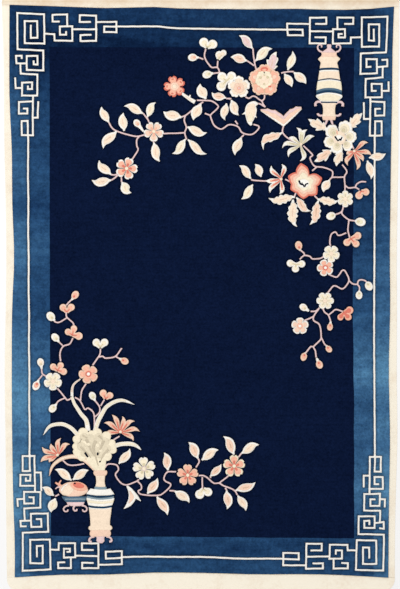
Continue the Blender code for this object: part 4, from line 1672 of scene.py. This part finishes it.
def knot_back(yarn):
    """The back of the knots: small hard rows, paler than the pile."""
    finish = Finish("back_" + yarn.name, 0.85)
    place = finish.place()
    x = finish.axis(place, "X")
    y = finish.axis(place, "Y")
    rows = (y * (2 * math.pi / (KNOT_ALONG * MM))).sine()
    columns = (x * (2 * math.pi / (KNOT_ACROSS * MM))).sine()
    knots = finish.noise(place, 240.0, 1.0)
    weft = (rows * -1.0 - 0.72).clipped() * 2.2
    pale = [min(255, 0.86 * x + 26) for x in (yarn.red, yarn.green, yarn.blue)]
    dyed = finish.dimmed(linear(*pale), 1.0 + (knots - 0.5) * 0.3)
    finish.paint(finish.blended(weft * 0.55, dyed, linear(*WEFT_COTTON)))
    finish.bump(rows * 0.5 + columns * 0.35 + knots * 0.3, 0.6, 0.0007)
    return finish.material


# The tape: its thread spacing in millimetres; in metres, where its upper end starts and over what length its
# marks build up; and its colours, clean and marked.
THREAD_APART = 1.4
UPPER_TAPE = 1.36
UPPER_FADE = 0.04
CLEAN_COTTON = (251, 242, 224)
MARKED_COTTON = (226, 202, 174)


def cotton():
    """Plain woven tape: a fine weave and tan marks, which lie thickest along the upper end."""
    finish = Finish("cotton_tape", 0.88, 0.02)
    place = finish.place()
    x = finish.axis(place, "X")
    y = finish.axis(place, "Y")
    threads = 2 * math.pi / (THREAD_APART * MM)
    weave = (x * threads).sine() * (y * threads).sine()
    fine = finish.noise(place, 500.0, 2.0)
    clouds = finish.noise(place, 9.0, 3.0, 0.6)
    spots = finish.noise(place, 55.0, 3.0, 0.65)
    upper = ((y - UPPER_TAPE) * (1 / UPPER_FADE)).clipped()
    marks = (clouds - 0.5) * 2.4 + (spots - 0.55) * 1.4
    marks = (marks * 0.5 + upper * 0.75 + 0.05).clipped()
    dyed = finish.blended(marks, linear(*CLEAN_COTTON), linear(*MARKED_COTTON))
    finish.paint(finish.dimmed(dyed, 1.0 + (fine - 0.5) * 0.08 + weave * 0.03))
    finish.bump(weave * 0.6 + fine * 0.5, 0.5, 0.0004)
    return finish.material


# The web round the pile, in millimetres.

WEB_HEIGHT = 2.0
WEB_TOP = 1.5
HEM_WIDTH = 9.0
HEM_RISE = 1.5
WEB_CELL = 6.0
COCKLE_HEIGHT = 0.12
COCKLE_MOST = 0.1
COCKLE_LENGTH = 23.0
EDGE_HEIGHT_SHARE = 0.35

# Where the tape's lengthwise lines lie, as shares of its width from the seam.
WEB_SHARES = [0, 0.08, 0.25, 0.45, 0.62, 0.72, 0.76, 0.85, 0.94, 0.985, 1.0]

# The strips: the CAD node, the axis that each runs along, and which way is outwards.
Web = namedtuple("Web", "node axis outwards")
WEBS = [
    Web("side_web_left", 1, -1),
    Web("side_web_right", 1, 1),
    Web("end_web_lower", 0, -1),
    Web("end_web_upper", 0, 1),
]


def web_edges(web):
    """Stations along the strip, its inner edge and its outer edge, from its CAD node."""
    places = {}
    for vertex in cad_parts[web.node].data.vertices:
        point = np.array([vertex.co.x, vertex.co.y]) / MM
        at = round(float(point[web.axis]), 1)
        places.setdefault(at, []).append(float(point[1 - web.axis]) * web.outwards)
    whole = [at for at in sorted(places) if max(places[at]) - min(places[at]) > 1]
    middle = [(min(places[at]) + max(places[at])) / 2 for at in whole]
    inner = []
    outer = []
    for at in sorted(places):
        divide = np.interp(at, whole, middle)
        inner += [(at, value) for value in places[at] if value < divide][:1]
        outer += [(at, value) for value in places[at] if value > divide][:1]
    fine = np.arange(min(places), max(places), WEB_CELL)
    stations = np.unique(np.concatenate([fine, list(places)]))
    return stations, np.interp(stations, *zip(*inner)), np.interp(stations, *zip(*outer))


def web_height(share, width, along):
    """The tape's top: a folded hem at the outer edge, and a slight cockle along it."""
    from_hem = (1 - share) * width
    hem = np.clip((HEM_WIDTH - from_hem) / HEM_RISE, 0, 1) * (WEB_HEIGHT - WEB_TOP)
    round_over = np.clip(from_hem / 1.0, 0, 1) ** 0.5
    cockle = COCKLE_HEIGHT * np.sin(along / COCKLE_LENGTH) * np.sin(share * np.pi)
    whole = WEB_TOP + hem - COCKLE_MOST + np.minimum(cockle, COCKLE_MOST)
    return whole * (EDGE_HEIGHT_SHARE + (1 - EDGE_HEIGHT_SHARE) * round_over)


def make_web(web, material):
    """One strip of tape as a closed mesh with a hem."""
    stations, inner, outer = web_edges(web)
    width = outer - inner
    columns = len(WEB_SHARES)
    top = []
    low = []
    for at, start, wide in zip(stations, inner, width):
        for share in WEB_SHARES:
            across = (start + share * wide) * web.outwards
            point = [0.0, 0.0]
            point[web.axis] = at
            point[1 - web.axis] = across
            top.append((*point, float(web_height(share, wide, at))))
            low.append((*point, 0.0))
    count = len(top)
    quads = []
    rows = len(stations)
    for r in range(rows - 1):
        for c in range(columns - 1):
            a = r * columns + c
            quads.append((a, a + 1, a + 1 + columns, a + columns))
            quads.append((a + count, a + count + columns, a + count + columns + 1, a + count + 1))
        for c in (0, columns - 1):
            a = r * columns + c
            wall = (a, a + columns, a + columns + count, a + count)
            quads.append(wall if c == 0 else wall[::-1])
    for r in (0, rows - 1):
        for c in range(columns - 1):
            a = r * columns + c
            wall = (a + 1, a, a + count, a + 1 + count)
            quads.append(wall if r == 0 else wall[::-1])
    faces = []
    turned = web.outwards * (1 if web.axis == 0 else -1) < 0
    for a, b, c, d in quads:
        quad = (a, b, c, d) if not turned else (d, c, b, a)
        faces.append((quad[0], quad[1], quad[2]))
        faces.append((quad[0], quad[2], quad[3]))
    made = mesh_object("tape_" + web.node, np.array(top + low), np.array(faces), [material])
    made.data.polygons.foreach_set("use_smooth", np.ones(len(made.data.polygons), bool))
    return made, float(np.mean(width)) * MM, float(stations[-1] - stations[0]) * MM


# Overcasting: short stitches over the edge between the tape and the pile.

STITCH_SPACING = 11.0
STITCH_LENGTH = 8.0
STITCH_THICK = 0.9
LEAST_SLANT = 0.25
MOST_SLANT = 0.45
STITCH_SEED = 7


def make_stitches(pile, material):
    """Geometry Nodes set a short slanted stitch at even steps along the seam."""
    loop = pile.outline
    mesh = bpy.data.meshes.new("seam_line")
    line = np.column_stack([loop, np.full(len(loop), WEB_HEIGHT)]) * MM
    mesh.from_pydata(line.tolist(), ring_edges(0, len(loop)).tolist(), [])
    seam = bpy.data.objects.new("seam_stitches", mesh)
    bpy.context.scene.collection.objects.link(seam)
    tree = bpy.data.node_groups.new("overcasting", "GeometryNodeTree")
    face = tree.interface
    face.new_socket("Geometry", in_out="INPUT", socket_type="NodeSocketGeometry")
    sizes = {}
    for name, value in (("Spacing", STITCH_SPACING), ("Length", STITCH_LENGTH), ("Thickness", STITCH_THICK)):
        socket = face.new_socket(name, in_out="INPUT", socket_type="NodeSocketFloat")
        sizes[socket.identifier] = value * MM
    face.new_socket("Geometry", in_out="OUTPUT", socket_type="NodeSocketGeometry")
    nodes = tree.nodes
    link = tree.links.new
    given = nodes.new("NodeGroupInput")
    result = nodes.new("NodeGroupOutput")
    curve = nodes.new("GeometryNodeMeshToCurve")
    link(given.outputs["Geometry"], curve.inputs[0])
    spaced = nodes.new("GeometryNodeResampleCurve")
    spaced.mode = "LENGTH"
    link(curve.outputs[0], spaced.inputs["Curve"])
    link(given.outputs["Spacing"], spaced.inputs["Length"])
    direction = nodes.new("GeometryNodeInputTangent")
    turn = nodes.new("FunctionNodeAlignEulerToVector")
    turn.axis = "Y"
    turn.pivot_axis = "Z"
    link(direction.outputs[0], turn.inputs["Vector"])
    slant = nodes.new("FunctionNodeRandomValue")
    slant.data_type = "FLOAT_VECTOR"
    slant.inputs["Min"].default_value = (0, 0, LEAST_SLANT)
    slant.inputs["Max"].default_value = (0, 0, MOST_SLANT)
    slant.inputs["Seed"].default_value = STITCH_SEED
    add = nodes.new("FunctionNodeRotateEuler")
    add.space = "LOCAL"
    link(turn.outputs[0], add.inputs["Rotation"])
    link(slant.outputs[0], add.inputs["Rotate By"])
    capsule = nodes.new("GeometryNodeMeshUVSphere")
    capsule.inputs["Segments"].default_value = 6
    capsule.inputs["Rings"].default_value = 4
    capsule.inputs["Radius"].default_value = 0.5
    size = nodes.new("ShaderNodeCombineXYZ")
    link(given.outputs["Length"], size.inputs["X"])
    link(given.outputs["Thickness"], size.inputs["Y"])
    link(given.outputs["Thickness"], size.inputs["Z"])
    set_out = nodes.new("GeometryNodeInstanceOnPoints")
    link(spaced.outputs[0], set_out.inputs["Points"])
    link(capsule.outputs[0], set_out.inputs["Instance"])
    link(add.outputs[0], set_out.inputs["Rotation"])
    link(size.outputs[0], set_out.inputs["Scale"])
    real = nodes.new("GeometryNodeRealizeInstances")
    link(set_out.outputs[0], real.inputs[0])
    coloured = nodes.new("GeometryNodeSetMaterial")
    coloured.inputs["Material"].default_value = material
    link(real.outputs[0], coloured.inputs["Geometry"])
    link(coloured.outputs[0], result.inputs[0])
    modifier = seam.modifiers.new("overcasting", "NODES")
    modifier.node_group = tree
    for identifier, value in sizes.items():
        modifier[identifier] = value
    bpy.context.view_layer.update()
    made = bpy.data.meshes.new_from_object(seam.evaluated_get(bpy.context.evaluated_depsgraph_get()))
    seam.modifiers.clear()
    seam.data = made
    return seam


# Floor, light and camera.

WORLD_STRENGTH = 0.7
SOFTBOX_SIZE = 5.0
SOFTBOX_POWER = 225.0
SOFTBOX_PLACE = (-1.8, 2.0, 6.5)
FLOOR_REACH = 6.0
FLOOR_HEIGHT = -0.0004
FLOOR_COLOUR = (0.93, 0.925, 0.92, 1)
CAMERA_ACROSS = -0.0024
CAMERA_ALONG = -0.0194
FRAME_LENGTH = 2.851
LENS = 90.0
SENSOR = 36.0


def make_floor():
    mesh = bpy.data.meshes.new("floor")
    signs = [(-1, -1), (1, -1), (1, 1), (-1, 1)]
    corners = [(x * FLOOR_REACH, y * FLOOR_REACH, FLOOR_HEIGHT) for x, y in signs]
    mesh.from_pydata(corners, [], [(0, 1, 2, 3)])
    floor = bpy.data.objects.new("floor", mesh)
    bpy.context.scene.collection.objects.link(floor)
    finish = Finish("pale_floor", 0.9)
    finish.surface.inputs["Base Color"].default_value = FLOOR_COLOUR
    floor.data.materials.append(finish.material)


def make_light():
    world = bpy.data.worlds.new("studio")
    bpy.context.scene.world = world
    world.use_nodes = True
    back = world.node_tree.nodes["Background"]
    back.inputs["Color"].default_value = (1.0, 1.0, 1.0, 1)
    back.inputs["Strength"].default_value = WORLD_STRENGTH
    light = bpy.data.lights.new("softbox", "AREA")
    light.shape = "RECTANGLE"
    light.size = SOFTBOX_SIZE
    light.size_y = SOFTBOX_SIZE
    light.energy = SOFTBOX_POWER
    lamp = bpy.data.objects.new("softbox", light)
    lamp.location = SOFTBOX_PLACE
    lamp.rotation_euler = (-Vector(SOFTBOX_PLACE)).to_track_quat("-Z", "Y").to_euler()
    bpy.context.scene.collection.objects.link(lamp)


def make_camera():
    data = bpy.data.cameras.new("camera")
    data.lens = LENS
    data.sensor_width = SENSOR
    camera = bpy.data.objects.new("camera", data)
    away = FRAME_LENGTH * LENS / SENSOR
    camera.location = (CAMERA_ACROSS, CAMERA_ALONG, away + PILE_TOP * MM)
    bpy.context.scene.collection.objects.link(camera)
    bpy.context.scene.camera = camera


def main():
    bpy.context.scene.view_settings.view_transform = "Standard"
    pile = Pile()
    wools = [wool(yarn) for yarn in YARNS]
    backs = [knot_back(yarn) for yarn in YARNS]
    tape = cotton()
    pieces = []
    for number in range(len(YARNS)):
        if (pile.yarn == number).any():
            pieces.append(pile.piece(number, wools[number]))
    base = pile.base(backs + [tape])
    stitches = make_stitches(pile, tape)
    for piece in pieces + [base]:
        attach(piece, "root")
        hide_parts("pile_rug")
    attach(stitches, "root")
    for web in WEBS:
        made, width, length = make_web(web, tape)
        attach(made, "root")
        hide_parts(web.node)
    make_floor()
    make_light()
    make_camera()


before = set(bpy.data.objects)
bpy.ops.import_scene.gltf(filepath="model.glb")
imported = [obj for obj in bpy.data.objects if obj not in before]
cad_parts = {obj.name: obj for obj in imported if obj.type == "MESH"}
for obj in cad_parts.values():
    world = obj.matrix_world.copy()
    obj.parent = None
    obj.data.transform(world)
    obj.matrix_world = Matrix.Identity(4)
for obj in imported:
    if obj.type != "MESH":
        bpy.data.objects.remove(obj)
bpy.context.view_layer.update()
main()
